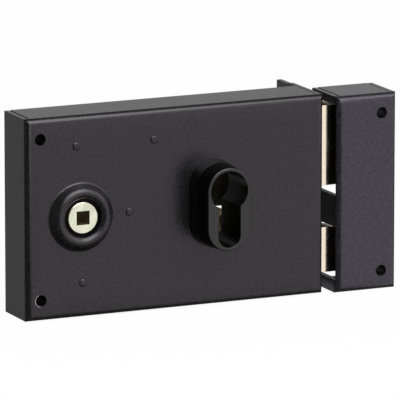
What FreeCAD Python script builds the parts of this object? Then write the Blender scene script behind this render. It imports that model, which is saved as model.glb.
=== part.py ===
import FreeCAD, Part
import math
import os

# Surface-mounted rim lock with a follower and a profile-cylinder collar, and its box strike.
# Millimetres. X runs from the case to the strike, +Y into the door, +Z up.
# The origin is the cylinder axis on the door face, so the room side of the lock is at -Y.

Vector = FreeCAD.Vector
ALONG_X = Vector(1, 0, 0)
ALONG_Y = Vector(0, 1, 0)

# Case
CASE_WIDTH = 140.0
CASE_HEIGHT = 88.0
CASE_DEPTH = 24.0
SHEET = 2.0
BEND = 3.0
SEAM = 0.7
SIDE_DROP = 0.1
CASE_BEHIND = 87.0
AXIS_RISE = 9.0
MOUNTING_INSET = 6.5
MOUNTING_END = 9.0
MOUNTING_HOLE = 2.5

# Forend: the right-hand wall of the cover, carried on past the door face
FLANGE_REACH = 20.4
FLANGE_STEP_AT = 9.0
FLANGE_STEP = 0.5
FLANGE_NOTCH = 1.2
FLANGE_CORNER = 0.8
FLANGE_HOLE_PITCH = 50.0
FLANGE_HOLE_AT = 14.0
FLANGE_HOLE = 2.6
CYLINDER_SCREW_HOLE = 2.75
CYLINDER_SCREW_DROP = 19.6
CYLINDER_SCREW_DEPTH = 11.0

# Profile cylinder opening and its collar
PROFILE_RADIUS = 8.7
PROFILE_HEIGHT = 33.4
PROFILE_SLOT = 10.4
COLLAR_REACH = 17.0
COLLAR_RIM = 1.4
COLLAR_FOOT = 2.6
COLLAR_SPIGOT = 0.9
COLLAR_FLARE = 0.9
COLLAR_EDGE = 0.5

# Follower and its pressed boss
FOLLOWER_PITCH = 62.0
SQUARE = 6.0
HUB_RADIUS = 7.0
HUB_PROUD = 2.5
HUB_BODY = 9.5
HUB_TAIL = 6.5
RUNNING_FIT = 0.06
FRONT_BUSH_WALL = 1.5
FRONT_BUSH_PROUD = 1.3
BOSS_FOOT = 15.4
BOSS_FOOT_BEND = 1.2
BOSS_CREST = 10.8
BOSS_CREST_BEND = 2.6
BOSS_HEIGHT = 4.0
BOSS_WALL = 1.6
BOSS_INNER_SLOPE = math.radians(50.0)
FOLLOWER_SWING = math.radians(36.0)
ARM_THICKNESS = 5.5
ARM_ROOT = 3.6
ARM_WAIST = 2.0
NOSE_RADIUS = 4.0
LUG_REACH = 14.0
LUG_WIDTH = 3.0
BUSH_WALL = 2.0
BUSH_LENGTH = 2.6

# Back plate
BACK_SHEET = 1.5
BACK_GAP = 0.15
TAB_BEND = 1.5
SCREW_TAB_FACE = 10.0
SCREW_TAB_WIDTH = 9.6
SCREW_TAB_MARGIN = 4.0
SPRING_TAB_FACE = 3.0
SPRING_TAB_WIDTH = 10.0
SPRING_TAB_GAP = 1.0

# Posts, tubes, screws and rivets
POST_RADIUS = 3.0
POST_SPIGOT = 1.3
POST_PROUD = 0.25
POST_TAPPING = 8.0
POST_COLLAR = 4.8
POST_COLLAR_LENGTH = 1.0
UPPER_POST_DROP = 13.2
DEAD_BOLT_POST_AT = -27.7
SPRING_POST_AT = -63.9
LEVER_POST_AT = -39.3
LEVER_POST_RISE = 0.3
LATCH_POST_AT = -61.1
LATCH_POST_LIFT = 15.2
TUBE_WALL = 1.4
SCREW_RADIUS = 1.5
SCREW_HEAD = 2.9
SCREW_LENGTH = 8.0
SCREW_SLOT = 0.7
RIVET_RADIUS = 1.5
RIVET_HEAD = 2.5
RIVET_HEAD_HEIGHT = 0.9

# Bolts
BOLT_FRONT = 5.5
BOLT_THICKNESS = 13.0
BOLT_CLEARANCE = 0.3
TAIL_SHEET = 2.2
TAIL_CORNER = 2.0
TAIL_SHORT = 0.5
LATCH_REBATE = 3.0
DEAD_REBATE = 6.7
DEAD_BOLT_HEIGHT = 35.3
DEAD_BOLT_DROP = 5.9
DEAD_BOLT_THROW = 20.0
DEAD_BOLT_LENGTH = 36.0
DEAD_BOLT_TIP = 0.8
DEAD_TAIL_ROOF_DROP = 4.6
DEAD_TAIL_EAR_DROP = 0.3
DEAD_TAIL_FLOOR = 9.9
DEAD_TAIL_INSET = 1.0
CAM_NOTCH_WIDTH = 7.4
CAM_NOTCH_DEPTH = 6.2
CAM_TURNS = 2
LATCH_HEIGHT = 20.0
LATCH_LIFT = 8.2
LATCH_THROW = 12.0
LATCH_LENGTH = 37.0
LATCH_TIP = 2.4
LATCH_BEVEL_START = 1.0
LATCH_TAIL_DROP = 3.7
LATCH_TAIL_LIFT = 1.8
LATCH_TAIL_STEP = -40.0
LATCH_RAIL_DROP = 15.5
EAR_REACH = 6.5
EAR_LIFT = 2.2
DRIVE_PIN_RADIUS = 1.5
DRIVE_PIN_DROP = 19.3
DRIVE_PIN_REACH = 6.6
FORK_CLEARANCE = 0.2

# Latch lever, lifted by the key
LEVER_SHEET = 2.5
LEVER_HUB = 6.0
LEVER_GAP = 1.2
LEVER_FORK = 23.4
LEVER_TOE = 30.0
TOE_RADIUS = 2.6

# Springs
WIRE_SIDES = 8
LATCH_SPRING_TURNS = 7
LATCH_SPRING_WIRE = 0.45
LATCH_SPRING_MEAN = 3.2
SPRING_INSET = 4.5
SPRING_ROD = 1.8
SPRING_ROD_LENGTH = 37.0
SPRING_ROD_SEAT = 6.0
FOLLOWER_SPRING_WIRE = 0.5
FOLLOWER_SPRING_TURNS = 2
FOLLOWER_SPRING_PITCH = 1.5
FOLLOWER_SPRING_LEG = 2.0
DETENT_SHEET = 0.6
DETENT_WIDTH = 2.4
DETENT_AT = 8.0
DETENT_RISE = 1.5
DETENT_HALF = 1.8
DETENT_DROP = 5.2
DETENT_FOOT = (20.0, 27.0)
DETENT_HEEL = 1.0
DETENT_RIVET = 1.0
TOUCH = 0.1

# Strike
DOOR_GAP = 6.5
STRIKE_WIDTH = 28.0
STRIKE_SHORTER = 1.0
STRIKE_DROP = 0.4
STRIKE_DEPTH = 25.2
STRIKE_HOLE_INSET = 7.5
STRIKE_HOLE_END = 8.5
POCKET_BEHIND = 2.0
DEAD_POCKET = (4.3, 0.2)
LATCH_POCKET = (3.1, 0.2)

# Places that follow from the sizes above
LEFT = -CASE_BEHIND
RIGHT = LEFT + CASE_WIDTH
MID_HEIGHT = -AXIS_RISE
BOTTOM = MID_HEIGHT - CASE_HEIGHT / 2
TOP = MID_HEIGHT + CASE_HEIGHT / 2
FRONT = -CASE_DEPTH
INSIDE_FRONT = FRONT + SHEET
INSIDE_BACK = -BACK_SHEET
INSIDE_RIGHT = RIGHT - SHEET
PROFILE_LOW = PROFILE_RADIUS - PROFILE_HEIGHT
FOLLOWER = (-FOLLOWER_PITCH, MID_HEIGHT)
BOSS_BORE = HUB_RADIUS + RUNNING_FIT + FRONT_BUSH_WALL
MOUNTING_X = LEFT + MOUNTING_INSET
MOUNTING_HEIGHTS = (BOTTOM + MOUNTING_END, TOP - MOUNTING_END)
DEAD_BOLT_POST = (DEAD_BOLT_POST_AT, TOP - UPPER_POST_DROP)
SPRING_POST = (SPRING_POST_AT, TOP - UPPER_POST_DROP)
LEVER_POST = (LEVER_POST_AT, MID_HEIGHT + LEVER_POST_RISE)
LATCH_POST = (LATCH_POST_AT, BOTTOM + LATCH_POST_LIFT)
BOLT_FACE = FRONT + BOLT_FRONT
BOLT_BACK = BOLT_FACE + BOLT_THICKNESS
LATCH_TAIL_BACK = BOLT_FACE + LATCH_REBATE
LATCH_TAIL_FACE = LATCH_TAIL_BACK - TAIL_SHEET
DEAD_TAIL_BACK = BOLT_FACE + DEAD_REBATE
DEAD_TAIL_FACE = DEAD_TAIL_BACK - TAIL_SHEET
DEAD_HIGH = TOP - DEAD_BOLT_DROP
DEAD_LOW = DEAD_HIGH - DEAD_BOLT_HEIGHT
DEAD_TAIL_ROOF = DEAD_HIGH - DEAD_TAIL_ROOF_DROP
DEAD_TAIL_EAR = DEAD_HIGH - DEAD_TAIL_EAR_DROP
DEAD_TIP = RIGHT + DEAD_BOLT_THROW
DEAD_HEEL = DEAD_TIP - DEAD_BOLT_LENGTH
DEAD_TAIL_ROOT = DEAD_HEEL + DEAD_TAIL_INSET
LATCH_LOW = BOTTOM + LATCH_LIFT
LATCH_HIGH = LATCH_LOW + LATCH_HEIGHT
LATCH_MID = (LATCH_LOW + LATCH_HIGH) / 2
LATCH_TAIL_TOP = LATCH_HIGH - LATCH_TAIL_DROP
LATCH_TAIL_BOTTOM = LATCH_LOW + LATCH_TAIL_LIFT
LATCH_RAIL_TOP = FOLLOWER[1] - LATCH_RAIL_DROP
LATCH_NOSE = RIGHT + LATCH_THROW
LATCH_HEEL = LATCH_NOSE - LATCH_LENGTH
TAIL_END = INSIDE_RIGHT - TAIL_SHORT
SPRING_Y = BOLT_BACK - SPRING_INSET
DETENT_LEVEL = TOP - DETENT_DROP
ARM_LENGTH = LATCH_THROW / 2 / math.sin(FOLLOWER_SWING / 2)
NOSE_DROP = ARM_LENGTH * math.cos(FOLLOWER_SWING / 2)
ARM_FACE = LATCH_TAIL_BACK + POST_COLLAR_LENGTH + 2 * TOUCH
LEVER_FACE = LATCH_TAIL_BACK + LEVER_GAP
DRIVE_PIN = (LEVER_POST[0] + LATCH_THROW / 2, LEVER_POST[1] - DRIVE_PIN_DROP)
FORK_ANGLE = math.atan2(LATCH_THROW / 2, DRIVE_PIN_DROP)
TOE_ANGLE = math.atan2(-LEVER_POST[1], -LEVER_POST[0]) + FORK_ANGLE
STRIKE_LEFT = RIGHT + DOOR_GAP
STRIKE_RIGHT = STRIKE_LEFT + STRIKE_WIDTH
STRIKE_BOTTOM = BOTTOM - STRIKE_DROP
STRIKE_TOP = STRIKE_BOTTOM + CASE_HEIGHT - STRIKE_SHORTER
STRIKE_FRONT = -STRIKE_DEPTH
STRIKE_HOLE_HEIGHTS = (STRIKE_BOTTOM + STRIKE_HOLE_END, STRIKE_TOP - STRIKE_HOLE_END)
OVERRUN = 1.0


def box(x_low, x_high, y_low, y_high, z_low, z_high):
    """A block between two corners."""
    size = (x_high - x_low, y_high - y_low, z_high - z_low)
    return Part.makeBox(*size, Vector(x_low, y_low, z_low))


def rod(centre, radius, y_low, y_high):
    """A round bar along Y, centred on an X, Z pair."""
    return Part.makeCylinder(radius, y_high - y_low, Vector(centre[0], y_low, centre[1]), ALONG_Y)


def rounded_wire(corners, place):
    """A closed outline of (u, v, radius) corners, drawn on the plane that place gives."""
    edges = []
    joints = []
    count = len(corners)
    for index, (u, v, radius) in enumerate(corners):
        corner = Vector(u, v, 0)
        before = Vector(*corners[index - 1][:2], 0) - corner
        after = Vector(*corners[(index + 1) % count][:2], 0) - corner
        before.normalize()
        after.normalize()
        if radius == 0:
            joints.append((corner, None, corner))
            continue
        half = before.getAngle(after) / 2
        inward = before + after
        inward.normalize()
        centre = corner + inward * (radius / math.sin(half))
        reach = radius / math.tan(half)
        joints.append((corner + before * reach, centre - inward * radius, corner + after * reach))
    for index, (start, middle, end) in enumerate(joints):
        if middle is not None:
            edges.append(Part.Arc(place(*start[:2]), place(*middle[:2]), place(*end[:2])).toShape())
        following = joints[(index + 1) % count][0]
        if (following - end).Length > 1e-6:
            edges.append(Part.LineSegment(place(*end[:2]), place(*following[:2])).toShape())
    return Part.Wire(edges)


def front_plate(corners, y_low, y_high):
    """A flat piece outlined in X, Z and as thick as the Y range."""
    wire = rounded_wire(corners, lambda u, v: Vector(u, y_low, v))
    return Part.Face(wire).extrude(Vector(0, y_high - y_low, 0))


def side_plate(corners, x_low, x_high):
    """A flat piece outlined in Y, Z and as thick as the X range."""
    wire = rounded_wire(corners, lambda u, v: Vector(x_low, u, v))
    return Part.Face(wire).extrude(Vector(x_high - x_low, 0, 0))


def level_plate(corners, z_low, z_high):
    """A piece outlined in X, Y and as tall as the Z range."""
    wire = rounded_wire(corners, lambda u, v: Vector(u, v, z_low))
    return Part.Face(wire).extrude(Vector(0, 0, z_high - z_low))


def rectangle(u_low, u_high, v_low, v_high, radius=0.0):
    """The four corners of an upright rectangle."""
    places = ((u_low, v_low), (u_high, v_low), (u_high, v_high), (u_low, v_high))
    return [(u, v, radius) for u, v in places]


def tapered_arm(centre, root, tip_radius, length, angle, y_low, y_high):
    """An arm from a round root to a round tip; the angle is measured from straight down towards +X."""
    tip = (centre[0] + length * math.sin(angle), centre[1] - length * math.cos(angle))
    flank = math.acos((root - tip_radius) / length)
    heading = angle - math.pi / 2

    def on(circle, radius, turn):
        across = radius * math.cos(heading + turn)
        rise = radius * math.sin(heading + turn)
        return Vector(circle[0] + across, y_low, circle[1] + rise)

    root_arc = [on(centre, root, turn) for turn in (flank, math.pi, -flank)]
    tip_arc = [on(tip, tip_radius, turn) for turn in (-flank, 0, flank)]
    edges = [Part.Arc(*root_arc).toShape(), Part.LineSegment(root_arc[2], tip_arc[0]).toShape(),
             Part.Arc(*tip_arc).toShape(), Part.LineSegment(tip_arc[2], root_arc[0]).toShape()]
    return Part.Face(Part.Wire(edges)).extrude(Vector(0, y_high - y_low, 0))


def stadium(width, z_low, z_high, y):
    """An upright slot outline with round ends."""
    half = width / 2
    high = z_high - half
    low = z_low + half
    edges = [Part.LineSegment(Vector(half, y, low), Vector(half, y, high)).toShape(),
             Part.Arc(Vector(half, y, high), Vector(0, y, z_high), Vector(-half, y, high)).toShape(),
             Part.LineSegment(Vector(-half, y, high), Vector(-half, y, low)).toShape(),
             Part.Arc(Vector(-half, y, low), Vector(0, y, z_low), Vector(half, y, low)).toShape()]
    return Part.Wire(edges)


def collar_outline(margin, y):
    """The stadium that stands the given margin outside the profile cylinder."""
    return stadium(2 * (PROFILE_RADIUS + margin), PROFILE_LOW - margin, PROFILE_RADIUS + margin, y)


def collar_block(margin, y_low, y_high):
    """A solid stadium with the given margin round the profile."""
    return Part.Face(collar_outline(margin, y_low)).extrude(Vector(0, y_high - y_low, 0))


def profile_cut(y_low, y_high):
    """The space of a profile cylinder: a round head over a narrow slot with a round end."""
    head = rod((0, 0), PROFILE_RADIUS, y_low, y_high)
    slot = Part.Face(stadium(PROFILE_SLOT, PROFILE_LOW, PROFILE_RADIUS / 2, y_low))
    return head.fuse(slot.extrude(Vector(0, y_high - y_low, 0))).removeSplitter()


def folded_box(left, right, front, bottom, top):
    """A sheet folded into a front and four walls, open at the back, with slots at its corner seams."""
    outer = box(left, right, front, 0, bottom, top)
    inner = box(left + SHEET, right - SHEET, front + SHEET, OVERRUN, bottom + SHEET, top - SHEET)
    shell = round_front(outer, front, BEND).cut(round_front(inner, front + SHEET, BEND - SHEET))
    trims = []
    for wall in (left, right - SHEET):
        seam = wall + SHEET if wall == left else wall - SEAM
        trims.append(box(seam, seam + SEAM, front + BEND, OVERRUN, bottom - OVERRUN, bottom + SHEET))
        trims.append(box(seam, seam + SEAM, front + BEND, OVERRUN, top - SHEET, top + OVERRUN))
        trims.append(box(wall, wall + SHEET, front + BEND, OVERRUN, top - SIDE_DROP, top + OVERRUN))
        trims.append(box(wall, wall + SHEET, front + BEND, OVERRUN, bottom - OVERRUN, bottom + SIDE_DROP))
    return shell.cut(trims)


def round_front(block, front, radius):
    """Round the edges of a block that lie on its front plane."""
    edges = [edge for edge in block.Edges if edge.BoundBox.YMax < front + 1e-6]
    return block.makeFillet(radius, edges)


def boss_edges(inset):
    """The drawn boss's section as radius and height: foot bend, flank, crest and inner slope."""
    foot = (BOSS_FOOT, BOSS_FOOT_BEND)
    crest = (BOSS_CREST, BOSS_HEIGHT - BOSS_CREST_BEND)
    apart = math.hypot(foot[0] - crest[0], foot[1] - crest[1])
    tilt = math.atan2(foot[1] - crest[1], foot[0] - crest[0])
    flank = math.asin((BOSS_FOOT_BEND + BOSS_CREST_BEND) / apart) - tilt
    foot_radius = BOSS_FOOT_BEND + inset
    crest_radius = BOSS_CREST_BEND - inset

    def at(centre, radius, turn):
        return (centre[0] + radius * math.sin(turn), centre[1] + radius * math.cos(turn))

    points = [at(foot, -foot_radius, turn) for turn in (0, flank / 2, flank)]
    points += [at(crest, crest_radius, turn) for turn in (flank, 0, -BOSS_INNER_SLOPE)]
    drop = (points[-1][0] - BOSS_BORE) * math.tan(BOSS_INNER_SLOPE)
    return points + [(BOSS_BORE, points[-1][1] - drop)]


def follower_boss():
    """The ring that is drawn up round the follower, one sheet thick, turned about the follower's axis."""
    def spot(point):
        return Vector(FOLLOWER[0] + point[0], FRONT - point[1], FOLLOWER[1])

    def section(points):
        outer = [spot(point) for point in points]
        return [Part.Arc(*outer[0:3]).toShape(), Part.LineSegment(outer[2], outer[3]).toShape(),
                Part.Arc(*outer[3:6]).toShape(), Part.LineSegment(outer[5], outer[6]).toShape()]

    face = boss_edges(0.0)
    under = boss_edges(BOSS_WALL)
    ends = [Part.LineSegment(spot(face[index]), spot(under[index])).toShape() for index in (0, -1)]
    wire = Part.Wire(Part.__sortEdges__(section(face) + section(under) + ends))
    return Part.Face(wire).revolve(Vector(FOLLOWER[0], 0, FOLLOWER[1]), ALONG_Y, 360)


def edge_flange():
    """The forend's reach past the door face, with a relief notch where it steps in."""
    corners = []
    for side, edge in ((1, TOP - SIDE_DROP), (-1, BOTTOM + SIDE_DROP)):
        step = edge - side * FLANGE_STEP
        run = [(-BEND, edge, 0), (FLANGE_STEP_AT - FLANGE_NOTCH, edge, 0),
               (FLANGE_STEP_AT - FLANGE_NOTCH, step - side * FLANGE_STEP, 0),
               (FLANGE_STEP_AT, step - side * FLANGE_STEP, 0),
               (FLANGE_STEP_AT, step, 0), (FLANGE_REACH, step, FLANGE_CORNER)]
        corners += run if side == 1 else run[::-1]
    flange = side_plate(corners, INSIDE_RIGHT, RIGHT)
    for height in (MID_HEIGHT - FLANGE_HOLE_PITCH / 2, MID_HEIGHT + FLANGE_HOLE_PITCH / 2):
        start = Vector(INSIDE_RIGHT - OVERRUN, FLANGE_HOLE_AT, height)
        flange = flange.cut(Part.makeCylinder(FLANGE_HOLE, SHEET + 2 * OVERRUN, start, ALONG_X))
    return flange


def case_cover():
    """The folded cover with its forend, boss, collar opening, bolt openings and fixing holes."""
    cover = folded_box(LEFT, RIGHT, FRONT, BOTTOM, TOP)
    cover = cover.cut(rod(FOLLOWER, BOSS_FOOT, FRONT - OVERRUN, INSIDE_FRONT + OVERRUN))
    cover = cover.fuse([follower_boss(), edge_flange()])
    cuts = [collar_block(COLLAR_SPIGOT, FRONT - OVERRUN, INSIDE_FRONT + OVERRUN)]
    for height in MOUNTING_HEIGHTS:
        cuts.append(rod((MOUNTING_X, height), MOUNTING_HOLE, FRONT - OVERRUN, INSIDE_FRONT + OVERRUN))
    for centre in (DEAD_BOLT_POST, LEVER_POST, LATCH_POST, SPRING_POST):
        cuts.append(rod(centre, POST_SPIGOT, FRONT - OVERRUN, INSIDE_FRONT + OVERRUN))
    for low, high in ((DEAD_LOW, DEAD_HIGH), (LATCH_LOW, LATCH_HIGH)):
        cuts.append(box(INSIDE_RIGHT - OVERRUN, RIGHT + OVERRUN, BOLT_FACE - BOLT_CLEARANCE,
                        BOLT_BACK + BOLT_CLEARANCE, low - BOLT_CLEARANCE, high + BOLT_CLEARANCE))
    start = Vector(INSIDE_RIGHT - OVERRUN, -CYLINDER_SCREW_DEPTH, -CYLINDER_SCREW_DROP)
    cuts.append(Part.makeCylinder(CYLINDER_SCREW_HOLE, SHEET + 2 * OVERRUN, start, ALONG_X))
    return cover.cut(cuts).removeSplitter()


def cylinder_collar():
    """The tapered collar round the cylinder; its spigot passes the cover and is flared behind it."""
    foot = collar_outline(COLLAR_FOOT, FRONT)
    rim = collar_outline(COLLAR_RIM, FRONT - COLLAR_REACH)
    body = Part.makeLoft([foot, rim], True, True)
    edges = [edge for edge in body.Edges if edge.BoundBox.YMax < FRONT - COLLAR_REACH + 1e-6]
    body = body.makeFillet(COLLAR_EDGE, edges)
    spigot = collar_block(COLLAR_SPIGOT, FRONT, INSIDE_FRONT)
    flare = collar_block(COLLAR_SPIGOT + COLLAR_FLARE, INSIDE_FRONT, INSIDE_FRONT + COLLAR_FLARE)
    whole = body.fuse([spigot, flare])
    return whole.cut(profile_cut(FRONT - COLLAR_REACH - OVERRUN, INSIDE_FRONT + COLLAR_FLARE + OVERRUN))


def lanced_tab(face, side, centre, width, reach):
    """A tab cut from the back plate and bent forward; side is +1 where its window lies towards +X."""
    inner = TAB_BEND
    outer = TAB_BEND + BACK_SHEET
    bend = face - side * inner
    corners = [(bend - side * OVERRUN, 0, 0), (face + side * BACK_SHEET, 0, outer),
               (face + side * BACK_SHEET, -reach, 0), (face, -reach, 0),
               (face, INSIDE_BACK, inner), (bend - side * OVERRUN, INSIDE_BACK, 0)]
    tab = level_plate(corners, centre - width / 2, centre + width / 2)
    blank = math.pi / 2 * (inner + BACK_SHEET / 2) + reach - outer
    ends = sorted((bend, bend + side * blank))
    window = box(*ends, INSIDE_BACK - OVERRUN, OVERRUN, centre - width / 2, centre + width / 2)
    return window, tab


def back_plate():
    """The plate that closes the back, with two lanced tabs and all its openings."""
    corners = rectangle(LEFT + SHEET + BACK_GAP, INSIDE_RIGHT - BACK_GAP,
                        BOTTOM + SHEET + BACK_GAP, TOP - SHEET - BACK_GAP, BEND - SHEET)
    plate = front_plate(corners, INSIDE_BACK, 0)
    low = INSIDE_BACK - OVERRUN
    cuts = [profile_cut(low, OVERRUN), rod(FOLLOWER, HUB_TAIL + RUNNING_FIT + BUSH_WALL, low, OVERRUN)]
    cuts += [rod((MOUNTING_X, height), MOUNTING_HOLE, low, OVERRUN) for height in MOUNTING_HEIGHTS]
    cuts += [screw_blank(centre) for centre in (DEAD_BOLT_POST, LEVER_POST, LATCH_POST, SPRING_POST)]
    cuts.append(detent_rivet())
    tabs = []
    screw_reach = CYLINDER_SCREW_DEPTH + SCREW_TAB_MARGIN
    spring_reach = -LATCH_TAIL_BACK - SPRING_TAB_GAP
    for place in ((SCREW_TAB_FACE, 1, -CYLINDER_SCREW_DROP, SCREW_TAB_WIDTH, screw_reach),
                  (SPRING_TAB_FACE, -1, LATCH_MID, SPRING_TAB_WIDTH, spring_reach)):
        window, tab = lanced_tab(*place)
        cuts.append(window)
        tabs.append(tab)
    plate = plate.cut(cuts).fuse(tabs)
    holes = [(SCREW_TAB_FACE, CYLINDER_SCREW_HOLE, -CYLINDER_SCREW_DEPTH, -CYLINDER_SCREW_DROP),
             (SPRING_TAB_FACE - BACK_SHEET, SPRING_ROD + BOLT_CLEARANCE, SPRING_Y, LATCH_MID)]
    for x, radius, y, z in holes:
        start = Vector(x - OVERRUN, y, z)
        plate = plate.cut(Part.makeCylinder(radius, BACK_SHEET + 2 * OVERRUN, start, ALONG_X))
    return plate.removeSplitter()


def post(centre, collars):
    """A turned post, staked through the cover and tapped from behind, with locating collars."""
    body = rod(centre, POST_RADIUS, INSIDE_FRONT, INSIDE_BACK)
    spigot = rod(centre, POST_SPIGOT, FRONT - POST_PROUD, INSIDE_FRONT)
    rims = [rod(centre, POST_COLLAR, y, y + POST_COLLAR_LENGTH) for y in collars]
    tapping = rod(centre, SCREW_RADIUS, INSIDE_BACK - POST_TAPPING, INSIDE_BACK + OVERRUN)
    edge = [line for line in spigot.Edges if line.BoundBox.YMax < FRONT - POST_PROUD + 1e-6]
    spigot = spigot.makeChamfer(POST_PROUD * 0.8, edge)
    return body.fuse([spigot] + rims).cut(tapping)


def screw_blank(centre):
    """A countersunk screw, flush with the back plate, before its slot is cut."""
    shank = rod(centre, SCREW_RADIUS, -SCREW_LENGTH, 0)
    cone_start = Vector(centre[0], INSIDE_BACK, centre[1])
    head = Part.makeCone(SCREW_RADIUS, SCREW_HEAD, BACK_SHEET, cone_start, ALONG_Y)
    return shank.fuse(head)


def back_plate_screws():
    """One slotted countersunk screw into each post."""
    screws = []
    for centre in (DEAD_BOLT_POST, LEVER_POST, LATCH_POST, SPRING_POST):
        slot = box(centre[0] - SCREW_HEAD, centre[0] + SCREW_HEAD, -SCREW_SLOT, OVERRUN,
                   centre[1] - SCREW_SLOT / 2, centre[1] + SCREW_SLOT / 2)
        screws.append(screw_blank(centre).cut(slot))
    return Part.makeCompound(screws)


def spacer_tube(centre, y_low, y_high):
    """The tube that carries a fixing screw through a box."""
    outer = rod(centre, MOUNTING_HOLE + TUBE_WALL, y_low, y_high)
    return outer.cut(rod(centre, MOUNTING_HOLE, y_low - OVERRUN, y_high + OVERRUN))


def strike_tubes():
    """The two tubes behind the strike's screw holes."""
    tubes = []
    for height in STRIKE_HOLE_HEIGHTS:
        tubes.append(spacer_tube((STRIKE_RIGHT - STRIKE_HOLE_INSET, height), STRIKE_FRONT + SHEET, 0))
    return Part.makeCompound(tubes)


def follower_bush():
    """The plain bearing of the follower, pressed into the back plate."""
    inner = HUB_TAIL + RUNNING_FIT
    ring = rod(FOLLOWER, inner + BUSH_WALL, -BUSH_LENGTH, 0)
    return ring.cut(rod(FOLLOWER, inner, -BUSH_LENGTH - OVERRUN, OVERRUN))


def front_bush():
    """The dark bearing ring of the follower's hub, pressed into the bore of the boss."""
    ring = rod(FOLLOWER, BOSS_BORE, FRONT - FRONT_BUSH_PROUD, INSIDE_FRONT)
    return ring.cut(rod(FOLLOWER, HUB_RADIUS + RUNNING_FIT, FRONT - HUB_PROUD, INSIDE_FRONT + OVERRUN))


def follower():
    """The follower: a square-holed hub with the arm that draws the latch and a lug for its spring."""
    tail_start = -BUSH_LENGTH - TOUCH
    hub = rod(FOLLOWER, HUB_RADIUS, FRONT - HUB_PROUD, INSIDE_FRONT)
    edge = [line for line in hub.Edges if line.BoundBox.YMax < FRONT - HUB_PROUD + 1e-6]
    hub = hub.makeChamfer(0.4, edge)
    body = rod(FOLLOWER, HUB_BODY, INSIDE_FRONT + TOUCH, tail_start)
    neck = rod(FOLLOWER, HUB_RADIUS, INSIDE_FRONT - TOUCH, INSIDE_FRONT + 2 * TOUCH)
    tail = rod(FOLLOWER, HUB_TAIL, tail_start - TOUCH, 0)
    layer = (ARM_FACE, ARM_FACE + ARM_THICKNESS)
    arm = tapered_arm(FOLLOWER, ARM_ROOT, ARM_WAIST, ARM_LENGTH, FOLLOWER_SWING / 2, *layer)
    nose = rod((FOLLOWER[0] + LATCH_THROW / 2, FOLLOWER[1] - NOSE_DROP), NOSE_RADIUS, *layer)
    lug = front_plate(lug_corners(), *layer)
    half = SQUARE / 2
    square = box(FOLLOWER[0] - half, FOLLOWER[0] + half, FRONT - HUB_PROUD - OVERRUN, OVERRUN,
                 FOLLOWER[1] - half, FOLLOWER[1] + half)
    return hub.fuse([body, neck, tail, arm, nose, lug]).cut(square).removeSplitter()


def lug_corners():
    """The outline of the lug on top of the follower; its right side meets the spring's leg."""
    right = SPRING_POST[0] + follower_coil_radius() - FOLLOWER_SPRING_WIRE - TOUCH
    return [(right - LUG_WIDTH, FOLLOWER[1], 0), (right, FOLLOWER[1], 0),
            (right, FOLLOWER[1] + LUG_REACH, 1.0), (right - LUG_WIDTH, FOLLOWER[1] + LUG_REACH, 1.0)]


def follower_coil_radius():
    """Mean radius of the coil that sits on the spring post."""
    return POST_RADIUS + FOLLOWER_SPRING_WIRE + TOUCH


def helix_edges(spot, start, turn, count):
    """Even arcs through a coil; spot gives the point at an angle."""
    edges = []
    step = turn / count
    for index in range(count):
        angle = start + index * step
        edges.append(Part.Arc(spot(angle), spot(angle + step / 2), spot(angle + step)).toShape())
    return edges


def wire_along(edges, radius):
    """A spring wire swept along a path; its section has eight sides, because nothing shows it."""
    path = Part.Wire(edges)
    start = path.Edges[0].valueAt(path.Edges[0].FirstParameter)
    heading = path.Edges[0].tangentAt(path.Edges[0].FirstParameter)
    circle = Part.makeCircle(radius, start, heading)
    corners = [circle.valueAt(2 * math.pi * index / WIRE_SIDES) for index in range(WIRE_SIDES)]
    return path.makePipeShell([Part.makePolygon(corners + corners[:1])], True, False)


def latch_spring():
    """The compression spring between the spring tab and the latch bolt."""
    start = SPRING_TAB_FACE + LATCH_SPRING_WIRE + TOUCH
    end = LATCH_HEEL - LATCH_SPRING_WIRE - TOUCH
    turn = 2 * math.pi * LATCH_SPRING_TURNS

    def spot(angle):
        x = start + (end - start) * angle / turn
        around = (LATCH_SPRING_MEAN * math.cos(angle), LATCH_SPRING_MEAN * math.sin(angle))
        return Vector(x, SPRING_Y + around[0], LATCH_MID + around[1])

    return wire_along(helix_edges(spot, 0.0, turn, 2 * LATCH_SPRING_TURNS), LATCH_SPRING_WIRE)


def follower_spring():
    """The return spring of the follower: a coil on its post, one leg over a tube, one at the lug."""
    radius = follower_coil_radius()
    seat = MOUNTING_HOLE + TUBE_WALL + FOLLOWER_SPRING_WIRE + TOUCH
    apart = (SPRING_POST[0] - MOUNTING_X, SPRING_POST[1] - MOUNTING_HEIGHTS[1])
    start = math.atan2(apart[1], apart[0]) + math.acos((seat - radius) / math.hypot(*apart))
    turn = start + 2 * math.pi * FOLLOWER_SPRING_TURNS
    first = ARM_FACE + FOLLOWER_SPRING_WIRE

    def spot(travel):
        angle = start - travel
        y = first + FOLLOWER_SPRING_PITCH * travel / (2 * math.pi)
        across = radius * math.cos(angle)
        rise = radius * math.sin(angle)
        return Vector(SPRING_POST[0] + across, y, SPRING_POST[1] + rise)

    coil = helix_edges(spot, 0.0, turn, 4 * FOLLOWER_SPRING_TURNS + 1)
    normal = Vector(math.cos(start), 0, math.sin(start))
    over_tube = Vector(MOUNTING_X, first, MOUNTING_HEIGHTS[1]) + normal * seat
    leg_end = over_tube + (over_tube - spot(0.0)).normalize() * FOLLOWER_SPRING_LEG
    lug_level = FOLLOWER[1] + LUG_REACH - 2 * LUG_WIDTH / 3
    foot = Vector(spot(turn).x, spot(turn).y, lug_level)
    edges = [Part.LineSegment(leg_end, spot(0.0)).toShape()] + coil
    edges.append(Part.LineSegment(spot(turn), foot).toShape())
    return wire_along(edges, FOLLOWER_SPRING_WIRE)


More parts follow.
